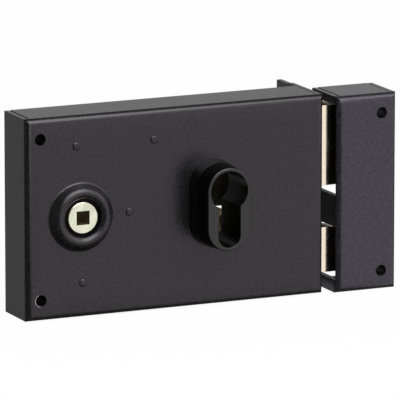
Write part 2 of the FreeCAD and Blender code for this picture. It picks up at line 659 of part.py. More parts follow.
def ribbon(points, thickness, y_low, y_high):
    """A bent strip of even thickness along an X, Z path."""
    sides = ([], [])
    for index, (x, z) in enumerate(points):
        before = points[max(index - 1, 0)]
        after = points[min(index + 1, len(points) - 1)]
        into = math.atan2(z - before[1], x - before[0]) if index else None
        out = math.atan2(after[1] - z, after[0] - x) if index < len(points) - 1 else into
        into = out if into is None else into
        middle = (into + out) / 2
        reach = thickness / 2 / math.cos((out - into) / 2)
        for side, sign in zip(sides, (1, -1)):
            side.append((x - sign * reach * math.sin(middle), z + sign * reach * math.cos(middle), 0))
    return front_plate(sides[0] + sides[1][::-1], y_low, y_high)


def detent_notch():
    """How deep the tail is notched for the detent, and half the notch's width at the edge."""
    slope = DETENT_RISE / DETENT_HALF
    depth = 1.5 * DETENT_SHEET
    return depth, depth / slope


def detent_spring():
    """The leaf whose bend drops into the dead bolt tail's notches, carried from the back plate."""
    depth = detent_notch()[0]
    lean = math.hypot(DETENT_RISE, DETENT_HALF) / DETENT_HALF
    lowest = DEAD_TAIL_ROOF - depth + (DETENT_SHEET / 2 + TOUCH) * lean
    face = DEAD_TAIL_FACE - TOUCH
    path = [(DETENT_FOOT[1], DETENT_LEVEL), (DETENT_FOOT[0] - DETENT_HEEL, DETENT_LEVEL),
            (DETENT_AT + DETENT_HALF, lowest + DETENT_RISE), (DETENT_AT, lowest),
            (DETENT_AT - DETENT_HALF, lowest + DETENT_RISE),
            (DETENT_AT - 2.5 * DETENT_HALF, lowest + 2 * DETENT_RISE)]
    blade = ribbon(path, DETENT_SHEET, face, face + DETENT_WIDTH - 2 * TOUCH)
    level = (DETENT_LEVEL - DETENT_SHEET / 2, DETENT_LEVEL + DETENT_SHEET / 2)
    wing = box(*DETENT_FOOT, face, INSIDE_BACK, *level)
    foot = box(*DETENT_FOOT, INSIDE_BACK - DETENT_SHEET, INSIDE_BACK, level[0], TOP - SHEET - 2 * TOUCH)
    return blade.fuse([wing, foot]).cut(detent_rivet()).removeSplitter()


def detent_rivet():
    """The rivet that holds the detent's foot to the back plate."""
    centre = (sum(DETENT_FOOT) / 2, (DETENT_LEVEL + TOP - SHEET) / 2)
    shank = rod(centre, DETENT_RIVET, INSIDE_BACK - 2 * DETENT_SHEET, 0)
    sunk = Vector(centre[0], -BACK_SHEET / 2, centre[1])
    head = Part.makeCone(DETENT_RIVET, 1.4 * DETENT_RIVET, BACK_SHEET / 2, sunk, ALONG_Y)
    closing = rod(centre, 1.4 * DETENT_RIVET, INSIDE_BACK - 2 * DETENT_SHEET, INSIDE_BACK - DETENT_SHEET)
    return shank.fuse([head, closing])


def dead_rivet_places():
    """Where the dead bolt's tail is riveted to its head."""
    x = (DEAD_TAIL_ROOT + TAIL_END) / 2
    span = DEAD_TAIL_ROOF - DEAD_LOW
    return [(x, DEAD_LOW + span * share) for share in (0.15, 0.5, 0.85)]


def latch_rivet_places():
    """Where the latch's tail is riveted to its head."""
    height = (LATCH_TAIL_TOP + LATCH_TAIL_BOTTOM) / 2
    return [(LATCH_HEEL + 4 * RIVET_HEAD, height), (TAIL_END - 2 * RIVET_HEAD, height)]


def rivets(places, tail_face):
    """Rivets with low coned heads on a tail, closed flush at the back of its bolt."""
    head_face = tail_face - RIVET_HEAD_HEIGHT
    pieces = []
    for centre in places:
        shank = rod(centre, RIVET_RADIUS, tail_face, BOLT_BACK)
        head = rod(centre, RIVET_HEAD, head_face, tail_face)
        edge = [line for line in head.Edges if line.BoundBox.YMax < head_face + 1e-6]
        pieces.append(head.makeChamfer(0.6 * RIVET_HEAD_HEIGHT, edge).fuse(shank))
    return pieces


def dead_bolt():
    """The dead bolt's head, shown thrown, with eased edges at its tip."""
    block = box(DEAD_HEEL, DEAD_TIP, BOLT_FACE, BOLT_BACK, DEAD_LOW, DEAD_HIGH)
    tip = [edge for edge in block.Edges if edge.BoundBox.XMin > DEAD_TIP - 1e-6]
    rebate = box(DEAD_HEEL - OVERRUN, TAIL_END, BOLT_FACE - OVERRUN, DEAD_TAIL_BACK,
                 DEAD_LOW - OVERRUN, DEAD_HIGH + OVERRUN)
    block = block.makeFillet(DEAD_BOLT_TIP, tip)
    return block.cut([rebate] + rivets(dead_rivet_places(), DEAD_TAIL_FACE))


def dead_bolt_tail():
    """The tail that the cam drives: cam notches below, detent notches above, a slot for its post."""
    post_x, post_z = DEAD_BOLT_POST
    slot_half = POST_RADIUS + RUNNING_FIT
    far = post_x - slot_half - RIVET_HEAD
    ear_end = post_x + DEAD_BOLT_THROW + slot_half + RIVET_HEAD
    corners = [(far, DEAD_TAIL_FLOOR, TAIL_CORNER), (DEAD_TAIL_ROOT, DEAD_TAIL_FLOOR, 0),
               (DEAD_TAIL_ROOT, DEAD_LOW, 0), (TAIL_END, DEAD_LOW, 0), (TAIL_END, DEAD_TAIL_ROOF, 0),
               (ear_end, DEAD_TAIL_ROOF, 0), (ear_end, DEAD_TAIL_EAR, TAIL_CORNER / 2),
               (far, DEAD_TAIL_EAR, TAIL_CORNER)]
    plate = front_plate(corners, DEAD_TAIL_FACE, DEAD_TAIL_BACK)
    low = DEAD_TAIL_FACE - OVERRUN
    high = DEAD_TAIL_BACK + OVERRUN
    slot = rectangle(post_x - slot_half, post_x + DEAD_BOLT_THROW + slot_half,
                     post_z - slot_half, post_z + slot_half, slot_half)
    cuts = [front_plate(slot, low, high)]
    pitch = DEAD_BOLT_THROW / CAM_TURNS
    flare = CAM_NOTCH_DEPTH / 4
    for turn in range(CAM_TURNS):
        middle = pitch * (turn + 0.5)
        half = CAM_NOTCH_WIDTH / 2
        roof = DEAD_TAIL_FLOOR + CAM_NOTCH_DEPTH
        mouth = DEAD_TAIL_FLOOR - OVERRUN
        notch = [(middle - half - flare, mouth, 0), (middle + half + flare, mouth, 0),
                 (middle + half - flare, roof, 1.0), (middle - half + flare, roof, 1.0)]
        cuts.append(front_plate(notch, low, high))
    depth, half = detent_notch()
    for turn in range(CAM_TURNS + 1):
        middle = DETENT_AT + pitch * turn
        vee = [(middle, DEAD_TAIL_ROOF - depth, 0), (middle + 2 * half, DEAD_TAIL_ROOF + depth, 0),
               (middle - 2 * half, DEAD_TAIL_ROOF + depth, 0)]
        cuts.append(front_plate(vee, low, high))
    return plate.cut(cuts + rivets(dead_rivet_places(), DEAD_TAIL_FACE))


def latch_bolt():
    """The spring latch: flat towards the room, bevelled on the side that meets the strike."""
    bevel_start = RIGHT + LATCH_BEVEL_START
    outline = [(LATCH_HEEL, BOLT_FACE, 0), (LATCH_NOSE, BOLT_FACE, LATCH_TIP / 3),
               (LATCH_NOSE, BOLT_FACE + LATCH_TIP, LATCH_TIP / 3), (bevel_start, BOLT_BACK, BEND),
               (LATCH_HEEL, BOLT_BACK, 0)]
    block = level_plate(outline, LATCH_LOW, LATCH_HIGH)
    rebate = box(LATCH_HEEL - OVERRUN, TAIL_END, BOLT_FACE - OVERRUN, LATCH_TAIL_BACK,
                 LATCH_LOW - OVERRUN, LATCH_HIGH + OVERRUN)
    heel = Vector(LATCH_HEEL, SPRING_Y, LATCH_MID)
    seat = Part.makeCylinder(SPRING_ROD, SPRING_ROD_SEAT, heel, ALONG_X)
    return block.cut([rebate, seat] + rivets(latch_rivet_places(), LATCH_TAIL_FACE))


def latch_tail():
    """The latch's tail: it runs under the cylinder to the follower and ends in a bent ear."""
    ear_face = FOLLOWER[0] + LATCH_THROW / 2 - NOSE_RADIUS - BOLT_CLEARANCE
    rail_bottom = LATCH_POST[1] + POST_RADIUS + RUNNING_FIT
    far = ear_face - TAIL_SHEET - 2 * TAIL_SHEET
    shoulder = DRIVE_PIN[0] + 2 * RIVET_HEAD
    corners = [(far, rail_bottom, TAIL_CORNER), (LATCH_TAIL_STEP, rail_bottom, 0),
               (LATCH_TAIL_STEP, LATCH_TAIL_BOTTOM, TAIL_CORNER), (TAIL_END, LATCH_TAIL_BOTTOM, 0),
               (TAIL_END, LATCH_TAIL_TOP, 0), (shoulder, LATCH_TAIL_TOP, 0),
               (shoulder, LATCH_RAIL_TOP, 0), (far, LATCH_RAIL_TOP, TAIL_CORNER)]
    plate = front_plate(corners, LATCH_TAIL_FACE, LATCH_TAIL_BACK)
    ear = box(ear_face - TAIL_SHEET, ear_face, LATCH_TAIL_FACE, LATCH_TAIL_BACK + EAR_REACH,
              rail_bottom + EAR_LIFT, LATCH_RAIL_TOP)
    pin = rod(DRIVE_PIN, DRIVE_PIN_RADIUS, LATCH_TAIL_FACE - OVERRUN, LATCH_TAIL_BACK + OVERRUN)
    return plate.fuse(ear).cut([pin] + rivets(latch_rivet_places(), LATCH_TAIL_FACE)).removeSplitter()


def latch_drive_pin():
    """The pin on the latch's tail that the key's lever draws back."""
    return rod(DRIVE_PIN, DRIVE_PIN_RADIUS, LATCH_TAIL_FACE, LATCH_TAIL_FACE + DRIVE_PIN_REACH)


def latch_spring_rod():
    """The rod that the latch spring runs on, seated in the back of the latch bolt."""
    start = Vector(LATCH_HEEL + SPRING_ROD_SEAT - SPRING_ROD_LENGTH, SPRING_Y, LATCH_MID)
    bar = Part.makeCylinder(SPRING_ROD, SPRING_ROD_LENGTH, start, ALONG_X)
    edge = [line for line in bar.Edges if line.BoundBox.XMax < start.x + 1e-6]
    return bar.makeChamfer(SPRING_ROD / 3, edge)


def latch_lever():
    """The lever that the key's cam pushes: a toe beside the cylinder and a fork on the latch's pin."""
    high = LEVER_FACE + LEVER_SHEET
    half = DRIVE_PIN_RADIUS + FORK_CLEARANCE
    prong = half + SHEET
    fork = tapered_arm(LEVER_POST, LEVER_HUB, prong, LEVER_FORK - prong, FORK_ANGLE, LEVER_FACE, high)
    toe = tapered_arm(LEVER_POST, LEVER_HUB, TOE_RADIUS, LEVER_TOE - TOE_RADIUS,
                      math.pi / 2 + TOE_ANGLE, LEVER_FACE, high)
    slot_start = DRIVE_PIN_DROP - 2 * DRIVE_PIN_RADIUS
    slot = rectangle(LEVER_POST[0] - half, LEVER_POST[0] + half,
                     LEVER_POST[1] - LEVER_FORK - OVERRUN, LEVER_POST[1] - slot_start)
    gap = front_plate(slot, LEVER_FACE - OVERRUN, high + OVERRUN)
    gap.rotate(Vector(LEVER_POST[0], 0, LEVER_POST[1]), ALONG_Y, -math.degrees(FORK_ANGLE))
    bore = rod(LEVER_POST, POST_RADIUS + RUNNING_FIT, LEVER_FACE - OVERRUN, high + OVERRUN)
    return fork.fuse(toe).cut([gap, bore]).removeSplitter()


def strike_box():
    """The folded strike with a pocket opening for each bolt in its left wall."""
    strike = folded_box(STRIKE_LEFT, STRIKE_RIGHT, STRIKE_FRONT, STRIKE_BOTTOM, STRIKE_TOP)
    cuts = []
    for low, high, gap in ((DEAD_LOW, DEAD_HIGH, DEAD_POCKET), (LATCH_LOW, LATCH_HIGH, LATCH_POCKET)):
        pocket = rectangle(STRIKE_FRONT + BEND, BOLT_BACK + POCKET_BEHIND, low - gap[0], high + gap[1])
        cuts.append(side_plate(pocket, STRIKE_LEFT - OVERRUN, STRIKE_LEFT + SHEET + OVERRUN))
    for height in STRIKE_HOLE_HEIGHTS:
        centre = (STRIKE_RIGHT - STRIKE_HOLE_INSET, height)
        cuts.append(rod(centre, MOUNTING_HOLE, STRIKE_FRONT - OVERRUN, STRIKE_FRONT + SHEET + OVERRUN))
    return strike.cut(cuts).removeSplitter()


def build():
    """Every piece by its node name."""
    tail_collars = (DEAD_TAIL_FACE - POST_COLLAR_LENGTH - TOUCH, DEAD_TAIL_BACK + TOUCH)
    lever_collars = (LEVER_FACE - POST_COLLAR_LENGTH - TOUCH, LEVER_FACE + LEVER_SHEET + TOUCH)
    spring_collar = ARM_FACE - POST_COLLAR_LENGTH - TOUCH
    return {
        "case_cover": case_cover(),
        "back_plate": back_plate(),
        "cylinder_collar": cylinder_collar(),
        "dead_bolt_post": post(DEAD_BOLT_POST, tail_collars),
        "lever_post": post(LEVER_POST, lever_collars),
        "latch_post": post(LATCH_POST, (LATCH_TAIL_BACK + TOUCH,)),
        "spring_post": post(SPRING_POST, (spring_collar,)),
        "back_plate_screws": back_plate_screws(),
        "lower_mounting_tube": spacer_tube((MOUNTING_X, MOUNTING_HEIGHTS[0]), INSIDE_FRONT, INSIDE_BACK),
        "upper_mounting_tube": spacer_tube((MOUNTING_X, MOUNTING_HEIGHTS[1]), INSIDE_FRONT, INSIDE_BACK),
        "follower_bush": follower_bush(),
        "front_bush": front_bush(),
        "follower": follower(),
        "follower_spring": follower_spring(),
        "latch_bolt": latch_bolt(),
        "latch_tail": latch_tail(),
        "latch_rivets": Part.makeCompound(rivets(latch_rivet_places(), LATCH_TAIL_FACE)),
        "latch_drive_pin": latch_drive_pin(),
        "latch_spring_rod": latch_spring_rod(),
        "latch_spring": latch_spring(),
        "latch_lever": latch_lever(),
        "dead_bolt": dead_bolt(),
        "dead_bolt_tail": dead_bolt_tail(),
        "dead_bolt_rivets": Part.makeCompound(rivets(dead_rivet_places(), DEAD_TAIL_FACE)),
        "detent_spring": detent_spring(),
        "detent_rivet": detent_rivet(),
        "strike_box": strike_box(),
        "strike_tubes": strike_tubes(),
    }


def main():
    """Write one STEP file for each piece."""
    os.makedirs("parts", exist_ok=True)
    for name, shape in build().items():
        solids = shape.Solids
        print(name, "solids", len(solids), "valid", shape.isValid(), "volume", round(shape.Volume, 1))
        shape.exportStep("parts/" + name + ".step")


main()
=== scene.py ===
"""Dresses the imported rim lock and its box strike, and sets the studio round them.

The lock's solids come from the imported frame, in metres: X runs to the strike, +Y into the door, +Z up.
Each sub-assembly is a class that eases the edges of its sheet and bolts and gives every piece its finish.
"""

import logging
import math
from dataclasses import dataclass, field, replace
from enum import Enum
from typing import Any, Callable, Iterable, Optional, Sequence

import bmesh
import bpy
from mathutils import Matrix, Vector


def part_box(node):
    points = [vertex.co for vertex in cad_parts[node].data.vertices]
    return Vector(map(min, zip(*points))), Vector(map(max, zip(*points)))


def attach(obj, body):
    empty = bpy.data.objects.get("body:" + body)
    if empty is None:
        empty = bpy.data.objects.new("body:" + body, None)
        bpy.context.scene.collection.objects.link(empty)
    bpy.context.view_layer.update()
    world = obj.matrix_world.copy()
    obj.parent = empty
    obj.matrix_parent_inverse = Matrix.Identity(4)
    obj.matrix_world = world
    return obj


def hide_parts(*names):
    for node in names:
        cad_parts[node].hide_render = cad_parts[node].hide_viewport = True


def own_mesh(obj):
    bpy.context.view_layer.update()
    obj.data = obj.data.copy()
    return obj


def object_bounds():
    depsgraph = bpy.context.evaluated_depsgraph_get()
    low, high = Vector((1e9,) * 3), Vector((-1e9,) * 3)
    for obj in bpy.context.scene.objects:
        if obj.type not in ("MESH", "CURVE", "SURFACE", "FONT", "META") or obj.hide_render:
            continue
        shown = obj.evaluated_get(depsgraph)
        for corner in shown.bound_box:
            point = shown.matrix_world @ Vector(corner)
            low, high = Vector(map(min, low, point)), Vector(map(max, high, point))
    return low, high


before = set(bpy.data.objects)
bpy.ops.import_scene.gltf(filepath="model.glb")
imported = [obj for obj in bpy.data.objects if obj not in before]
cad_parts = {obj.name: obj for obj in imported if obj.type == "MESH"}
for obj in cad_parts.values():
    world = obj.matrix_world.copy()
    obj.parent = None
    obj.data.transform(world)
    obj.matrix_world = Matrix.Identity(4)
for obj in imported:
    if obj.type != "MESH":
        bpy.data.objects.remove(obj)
CAD_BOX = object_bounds()

LOG = logging.getLogger("rim_lock")

MM = 0.001
ACROSS = Vector((1.0, 0.0, 0.0))
UP = Vector((0.0, 0.0, 1.0))
WHITE = (1.0, 1.0, 1.0, 1.0)

# Points nearer than these are one point, lie in one plane, or stand at one place of the sheet.
MERGED = 0.002 * MM
COPLANAR = 0.01 * MM
NEAR = 0.02 * MM

# Faces that turn by less than the first angle are joined, and edges that turn by more than the second
# are rounded over.
FLAT_ANGLE = math.radians(0.4)
SHARP_ANGLE = math.radians(34)

# The specular level where the gloss is taken off, so that a surface renders near black as painted shade.
DULL_LEVEL = 0.02

Colour = tuple[float, float, float, float]
Range = tuple[float, float]
Stops = tuple[tuple[float, Colour], ...]
Shaping = Callable[[bmesh.types.BMesh], None]


class Grain(Enum):
    """The way that a metal was worked, as the stretch of its scratches along X, Y and Z."""

    ALONG_X = (0.03, 1.0, 1.0)
    ALONG_Y = (1.0, 0.03, 1.0)
    ROLLED = (0.12, 1.0, 0.6)
    EVEN = (1.0, 1.0, 1.0)


class Maths:
    """A value socket that takes part in Python expressions, each of which adds a Math node."""

    def __init__(self, graph: "Graph", socket: bpy.types.NodeSocket) -> None:
        """Wrap a socket.

        Args:
            graph: the graph that the socket's node lies in.
            socket: the output socket.
        """
        self.graph = graph
        self.socket = socket

    def _with(self, operation: str, *others: Any) -> "Maths":
        """Add a Math node that starts from this value.

        Args:
            operation: the Math node's operation.
            others: the further operands, as numbers or values.

        Returns:
            The node's result.
        """
        return self.graph.maths(operation, self, *others)

    def __add__(self, other: Any) -> "Maths":
        """Add a number or a value."""
        return self._with("ADD", other)

    def __radd__(self, other: Any) -> "Maths":
        """Add this to a number."""
        return self._with("ADD", other)

    def __sub__(self, other: Any) -> "Maths":
        """Take a number or a value away."""
        return self._with("SUBTRACT", other)

    def __rsub__(self, other: Any) -> "Maths":
        """Take this away from a number."""
        return self.graph.maths("SUBTRACT", other, self)

    def __mul__(self, other: Any) -> "Maths":
        """Multiply by a number or a value."""
        return self._with("MULTIPLY", other)

    def __rmul__(self, other: Any) -> "Maths":
        """Multiply a number by this."""
        return self._with("MULTIPLY", other)

    def __truediv__(self, other: Any) -> "Maths":
        """Divide by a number or a value."""
        return self._with("DIVIDE", other)

    def __rtruediv__(self, other: Any) -> "Maths":
        """Divide a number by this."""
        return self.graph.maths("DIVIDE", other, self)

    def __pow__(self, other: Any) -> "Maths":
        """Raise to a power."""
        return self._with("POWER", other)

    def above(self, limit: Any) -> "Maths":
        """Give 1 where this is greater than the limit, and 0 elsewhere."""
        return self._with("GREATER_THAN", limit)

    def below(self, limit: Any) -> "Maths":
        """Give 1 where this is less than the limit, and 0 elsewhere."""
        return self._with("LESS_THAN", limit)

    def larger(self, other: Any) -> "Maths":
        """Give the larger of two values."""
        return self._with("MAXIMUM", other)

    def size(self) -> "Maths":
        """Give the value without its sign."""
        return self._with("ABSOLUTE")

    def sway(self, share: float) -> "Maths":
        """Give a share of how far a pattern from 0 to 1 is off its middle."""
        return (self - 0.5) * share

    def step(self, low: float, high: float) -> "Maths":
        """Rise smoothly from 0 at one value to 1 at another.

        Args:
            low: the value that gives 0.
            high: the value that gives 1.

        Returns:
            The eased value.
        """
        node = self.graph.node("ShaderNodeMapRange", {"interpolation_type": "SMOOTHSTEP"},
                               {"Value": self, "From Min": low, "From Max": high})
        return Maths(self.graph, node.outputs["Result"])


class Graph:
    """A material's or a world's node tree, built by expressions."""

    def __init__(self, owner: Any) -> None:
        """Clear the owner's nodes.

        Args:
            owner: the material or the world.
        """
        owner.use_nodes = True
        self.tree = owner.node_tree
        self.tree.nodes.clear()

    def node(self, kind: str, settings: dict[str, Any], sockets: dict[Any, Any]) -> bpy.types.Node:
        """Add one node.

        Args:
            kind: the node's type.
            settings: its properties, which are set first; "stops" holds a ramp's places and colours.
            sockets: the value or link of each input, by its name or number.

        Returns:
            The node.
        """
        made = self.tree.nodes.new(kind)
        for name, value in settings.items():
            if name == "stops":
                self._set_stops(made.color_ramp, value)
            else:
                setattr(made, name, value)
        for name, value in sockets.items():
            if isinstance(value, Maths):
                value = value.socket
            if isinstance(value, bpy.types.NodeSocket):
                self.tree.links.new(value, made.inputs[name])
            else:
                made.inputs[name].default_value = value
        return made

    @staticmethod
    def _set_stops(ramp: bpy.types.ColorRamp, stops: Stops) -> None:
        """Give a ramp its stops.

        Args:
            ramp: the ramp, with its two stops.
            stops: each stop's place and colour, in order.
        """
        while len(ramp.elements) < len(stops):
            ramp.elements.new(1.0)
        for element, (place, colour) in zip(ramp.elements, stops):
            element.position = place
            element.color = colour

    def maths(self, operation: str, *operands: Any) -> Maths:
        """Add a Math node.

        Args:
            operation: its operation.
            operands: numbers or values.

        Returns:
            Its result.
        """
        node = self.node("ShaderNodeMath", {"operation": operation}, dict(enumerate(operands)))
        return Maths(self, node.outputs[0])

    def place(self) -> bpy.types.NodeSocket:
        """Give the point's place on the object."""
        return self.node("ShaderNodeTexCoord", {}, {}).outputs["Object"]

    def split(self, vector: bpy.types.NodeSocket) -> tuple[Maths, Maths, Maths]:
        """Give a vector's X, Y and Z."""
        parts = self.node("ShaderNodeSeparateXYZ", {}, {0: vector}).outputs
        return Maths(self, parts[0]), Maths(self, parts[1]), Maths(self, parts[2])

    def off_axis(self, centre: Range) -> tuple[Maths, Maths, Maths]:
        """Measure how far the point is off an axis along Y.

        Args:
            centre: the axis's X and Z, in metres.

        Returns:
            The distance along X, along Z and straight to the axis.
        """
        x, _, z = self.split(self.place())
        across = x - centre[0]
        rise = z - centre[1]
        return across, rise, (across * across + rise * rise) ** 0.5

    def noise(self, size: float, detail: float = 2.0, grain: Grain = Grain.EVEN,
              shift: float = 0.0) -> Maths:
        """Add a noise pattern.

        Args:
            size: the size of its blotches in metres.
            detail: how many finer layers it has.
            grain: the way that it is stretched.
            shift: how far the pattern is moved, so that two of them differ.

        Returns:
            The pattern, from 0 to 1.
        """
        mapped = self.node("ShaderNodeMapping", {}, {
            "Vector": self.place(), "Location": (shift, shift, shift), "Scale": grain.value})
        made = self.node("ShaderNodeTexNoise", {}, {
            "Vector": mapped.outputs[0], "Scale": 1.0 / size, "Detail": detail})
        return Maths(self, made.outputs[0])

    def ramp(self, value: Maths, stops: Stops) -> bpy.types.NodeSocket:
        """Turn a value into a colour.

        Args:
            value: the value, from 0 to 1.
            stops: the ramp's places and colours.

        Returns:
            The colour.
        """
        return self.node("ShaderNodeValToRGB", {"stops": stops}, {0: value}).outputs[0]

    def blend(self, share: Any, first: Any, second: Any) -> bpy.types.NodeSocket:
        """Mix two colours.

        Args:
            share: how much there is of the second.
            first: the colour at 0.
            second: the colour at 1.

        Returns:
            The mixed colour.
        """
        return self.node("ShaderNodeMix", {"data_type": "RGBA"}, {0: share, 6: first, 7: second}).outputs[2]

    def overlay(self, share: Any, first: Any, second: Any) -> bpy.types.NodeSocket:
        """Mix two shaders.

        Args:
            share: how much there is of the second.
            first: the shader at 0.
            second: the shader at 1.

        Returns:
            The mixed shader.
        """
        return self.node("ShaderNodeMixShader", {}, {0: share, 1: first, 2: second}).outputs[0]

    def ray(self, name: str) -> Maths:
        """Give 1 for the rays of one kind, as the Light Path node calls it."""
        return Maths(self, self.node("ShaderNodeLightPath", {}, {}).outputs[name])

    def bump(self, height: Maths, depth: float) -> bpy.types.NodeSocket:
        """Turn a height into a normal.

        Args:
            height: the height, from 0 to 1.
            depth: what a height of 1 is, in metres.

        Returns:
            The normal.
        """
        return self.node("ShaderNodeBump", {}, {"Height": height, "Distance": depth}).outputs[0]

    def surface(self, dull: Any = None, **sockets: Any) -> None:
        """Finish the tree with a shader and its output.

        Args:
            dull: where the gloss is taken off as painted shade, or None.
            sockets: the shader's inputs, with underscores for the spaces in their names.
        """
        named = {name.replace("_", " "): value for name, value in sockets.items()}
        shader = self.node("ShaderNodeBsdfPrincipled", {}, named).outputs[0]
        # Where the mask is given, a second shader without gloss is mixed in: painted shade.
        if dull is not None:
            named["Specular IOR Level"] = DULL_LEVEL
            shader = self.overlay(dull, shader, self.node("ShaderNodeBsdfPrincipled", {}, named).outputs[0])
        self.node("ShaderNodeOutputMaterial", {}, {"Surface": shader})


def grey(level: float, warmth: float = 0.0) -> Colour:
    """Give a near-neutral colour.

    Args:
        level: its brightness.
        warmth: how far red rises and blue falls, as a share.

    Returns:
        The colour.
    """
    return (level * (1 + warmth), level, level * (1 - warmth), 1.0)


@dataclass(frozen=True)
class Hollow:
    """A hollow form of sheet: a box whose upright edges and, where it says so, front edges are round.

    Its inner side and its cut edges, deeper than the skin, lose their gloss, which paints shade into the
    hollow.
    """

    low: Vector
    high: Vector
    radius: float
    skin: float = 0.5 * MM
    round_front: bool = True

    def mask(self, graph: Graph) -> Maths:
        """Give 1 on what lies deeper than the skin, where shade is painted by taking off the gloss.

        Args:
            graph: the finish's graph.

        Returns:
            The mask.
        """
        x, y, z = graph.split(graph.place())
        middle = (self.low + self.high) / 2
        half = (self.high - self.low) / 2
        across = ((x - middle.x).size() + (self.radius - half.x)).larger(0.0)
        rise = ((z - middle.z).size() + (self.radius - half.z)).larger(0.0)
        reach = across * across + rise * rise
        if self.round_front:
            ahead = ((self.low.y + self.radius) - y).larger(0.0)
            reach = reach + ahead * ahead
        deep = reach.below((self.radius - self.skin) ** 2)
        return deep * y.above(self.low.y + self.skin) * y.below(self.high.y)


@dataclass(frozen=True)
class Chip:
    """A place where the coat is knocked off a hole's rim and the bare metal shows."""

    centre: Range
    radius: float
    width: float
    bearing: float
    spread: float
    ragged_size: float = 0.7 * MM
    ragged_depth: float = 0.5 * MM

    def mask(self, graph: Graph) -> Maths:
        """Give 1 on the chip.

        Args:
            graph: the finish's graph.

        Returns:
            The mask.
        """
        across, rise, reach = graph.off_axis(self.centre)
        ragged = graph.noise(self.ragged_size, 3.0).sway(self.ragged_depth)
        ring = (reach + ragged).below(self.radius + self.width)
        facing = across * math.cos(self.bearing) + rise * math.sin(self.bearing)
        return ring * (facing / reach).above(math.cos(self.spread))


@dataclass(frozen=True)
class Finish:
    """A named material, whose nodes each kind of finish lays in its own way."""

    name: str

    def make(self) -> bpy.types.Material:
        """Build the material.

        Returns:
            The material.
        """
        material = bpy.data.materials.new(self.name)
        self.lay(Graph(material))
        return material

    def lay(self, graph: Graph) -> None:
        """Lay the finish's nodes in the material's graph."""
        raise NotImplementedError


@dataclass(frozen=True)
class PowderCoat(Finish):
    """Black powder coat: a dark body with clouds, mottles and specks, under a fine-grained satin skin."""

    hollow: Hollow
    body: float = 0.002
    roughness: float = 0.28
    sheen: Colour = (1.05, 0.98, 1.09, 1.0)
    gloss: float = 0.5
    grain_depth: float = 0.04 * MM
    cloud_size: float = 22 * MM
    mottle_size: float = 1.3 * MM
    peel_size: float = 1.1 * MM
    grit_size: float = 0.45 * MM
    mottle_range: Range = (0.35, 0.65)
    speck_range: Range = (0.62, 0.75)
    speck_share: float = 0.5
    pale_times: float = 4.0
    cloud_roughness: float = 0.08
    grit_roughness: float = 0.12
    chips: tuple[Chip, ...] = ()
    chip_colour: Colour = grey(0.5, 0.02)
    chip_polish: float = 0.1

    def lay(self, graph: Graph) -> None:
        """Lay the coat's nodes.

        Args:
            graph: the material's graph.
        """
        cloud = graph.noise(self.cloud_size)
        mottle = graph.noise(self.mottle_size, 3.0, shift=0.7)
        peel = graph.noise(self.peel_size, 1.0)
        grit = graph.noise(self.grit_size, shift=0.4)
        pale = grey(self.body * self.pale_times)
        colour = graph.blend(cloud, grey(self.body * 0.8, 0.01), grey(self.body * 1.25, -0.03))
        colour = graph.blend(mottle.step(*self.mottle_range), colour, pale)
        colour = graph.blend(grit.step(*self.speck_range) * self.speck_share, colour, pale)
        roughness = self.roughness + cloud.sway(self.cloud_roughness) + grit.sway(self.grit_roughness)
        metallic: Any = 0.0
        for chip in self.chips:
            mask = chip.mask(graph)
            colour = graph.blend(mask, colour, self.chip_colour)
            roughness = roughness - mask * self.chip_polish
            metallic = mask.larger(metallic)
        normal = graph.bump(peel * 0.7 + grit * 0.5, self.grain_depth)
        # Inside the hollow and on its cut edges the gloss is taken off: painted shade.
        graph.surface(dull=self.hollow.mask(graph), Base_Color=colour, Roughness=roughness,
                      Metallic=metallic, Normal=normal, Specular_Tint=self.sheen,
                      Specular_IOR_Level=self.gloss)


@dataclass(frozen=True)
class Enamel(Finish):
    """Smooth black enamel with a slow orange peel and a little dust."""

    body: float = 0.0015
    roughness: float = 0.22
    gloss: float = 0.6
    hollow: Optional[Hollow] = None
    cloud_size: float = 12 * MM
    peel_size: float = 1.6 * MM
    dust_size: float = 0.25 * MM
    peel_depth: float = 0.012 * MM
    dust_range: Range = (0.6, 0.8)
    dust_times: float = 2.5
    cloud_roughness: float = 0.12

    def lay(self, graph: Graph) -> None:
        """Lay the enamel's nodes.

        Args:
            graph: the material's graph.
        """
        peel = graph.noise(self.peel_size, 1.5)
        dust = graph.noise(self.dust_size, shift=0.2)
        dusty = grey(self.body * self.dust_times)
        colour = graph.blend(dust.step(*self.dust_range), grey(self.body), dusty)
        roughness = self.roughness + graph.noise(self.cloud_size).sway(self.cloud_roughness)
        normal = graph.bump(peel, self.peel_depth)
        # Inside the hollow, such as the collar's bore, the gloss is taken off: painted shade.
        dull = self.hollow.mask(graph) if self.hollow else None
        graph.surface(dull=dull, Base_Color=colour, Roughness=roughness, Normal=normal,
                      Specular_IOR_Level=self.gloss)


@dataclass(frozen=True)
class Plate(Finish):
    """Plated or bare metal: a tint that clouds over, under fine scratches along one direction."""

    light: Colour
    dark: Colour
    roughness: float = 0.34
    cloud_size: float = 9 * MM
    scratch_size: float = 0.22 * MM
    scratch_depth: float = 0.008 * MM
    grain: Grain = Grain.EVEN
    cloud_range: Range = (0.32, 0.6)
    scratch_range: Range = (0.55, 0.75)
    scratch_share: float = 0.35
    cloud_roughness: float = 0.12
    scratch_roughness: float = 0.22

    def lay(self, graph: Graph) -> None:
        """Lay the plate's nodes.

        Args:
            graph: the material's graph.
        """
        cloud = graph.noise(self.cloud_size, 3.0)
        scratch = graph.noise(self.scratch_size, 3.0, self.grain)
        tint = graph.ramp(cloud, tuple(zip(self.cloud_range, (self.dark, self.light))))
        colour = graph.blend(scratch.step(*self.scratch_range) * self.scratch_share, tint, self.dark)
        roughness = self.roughness + scratch.sway(self.scratch_roughness) + cloud.sway(self.cloud_roughness)
        normal = graph.bump(scratch, self.scratch_depth)
        graph.surface(Base_Color=colour, Metallic=1.0, Roughness=roughness, Normal=normal)


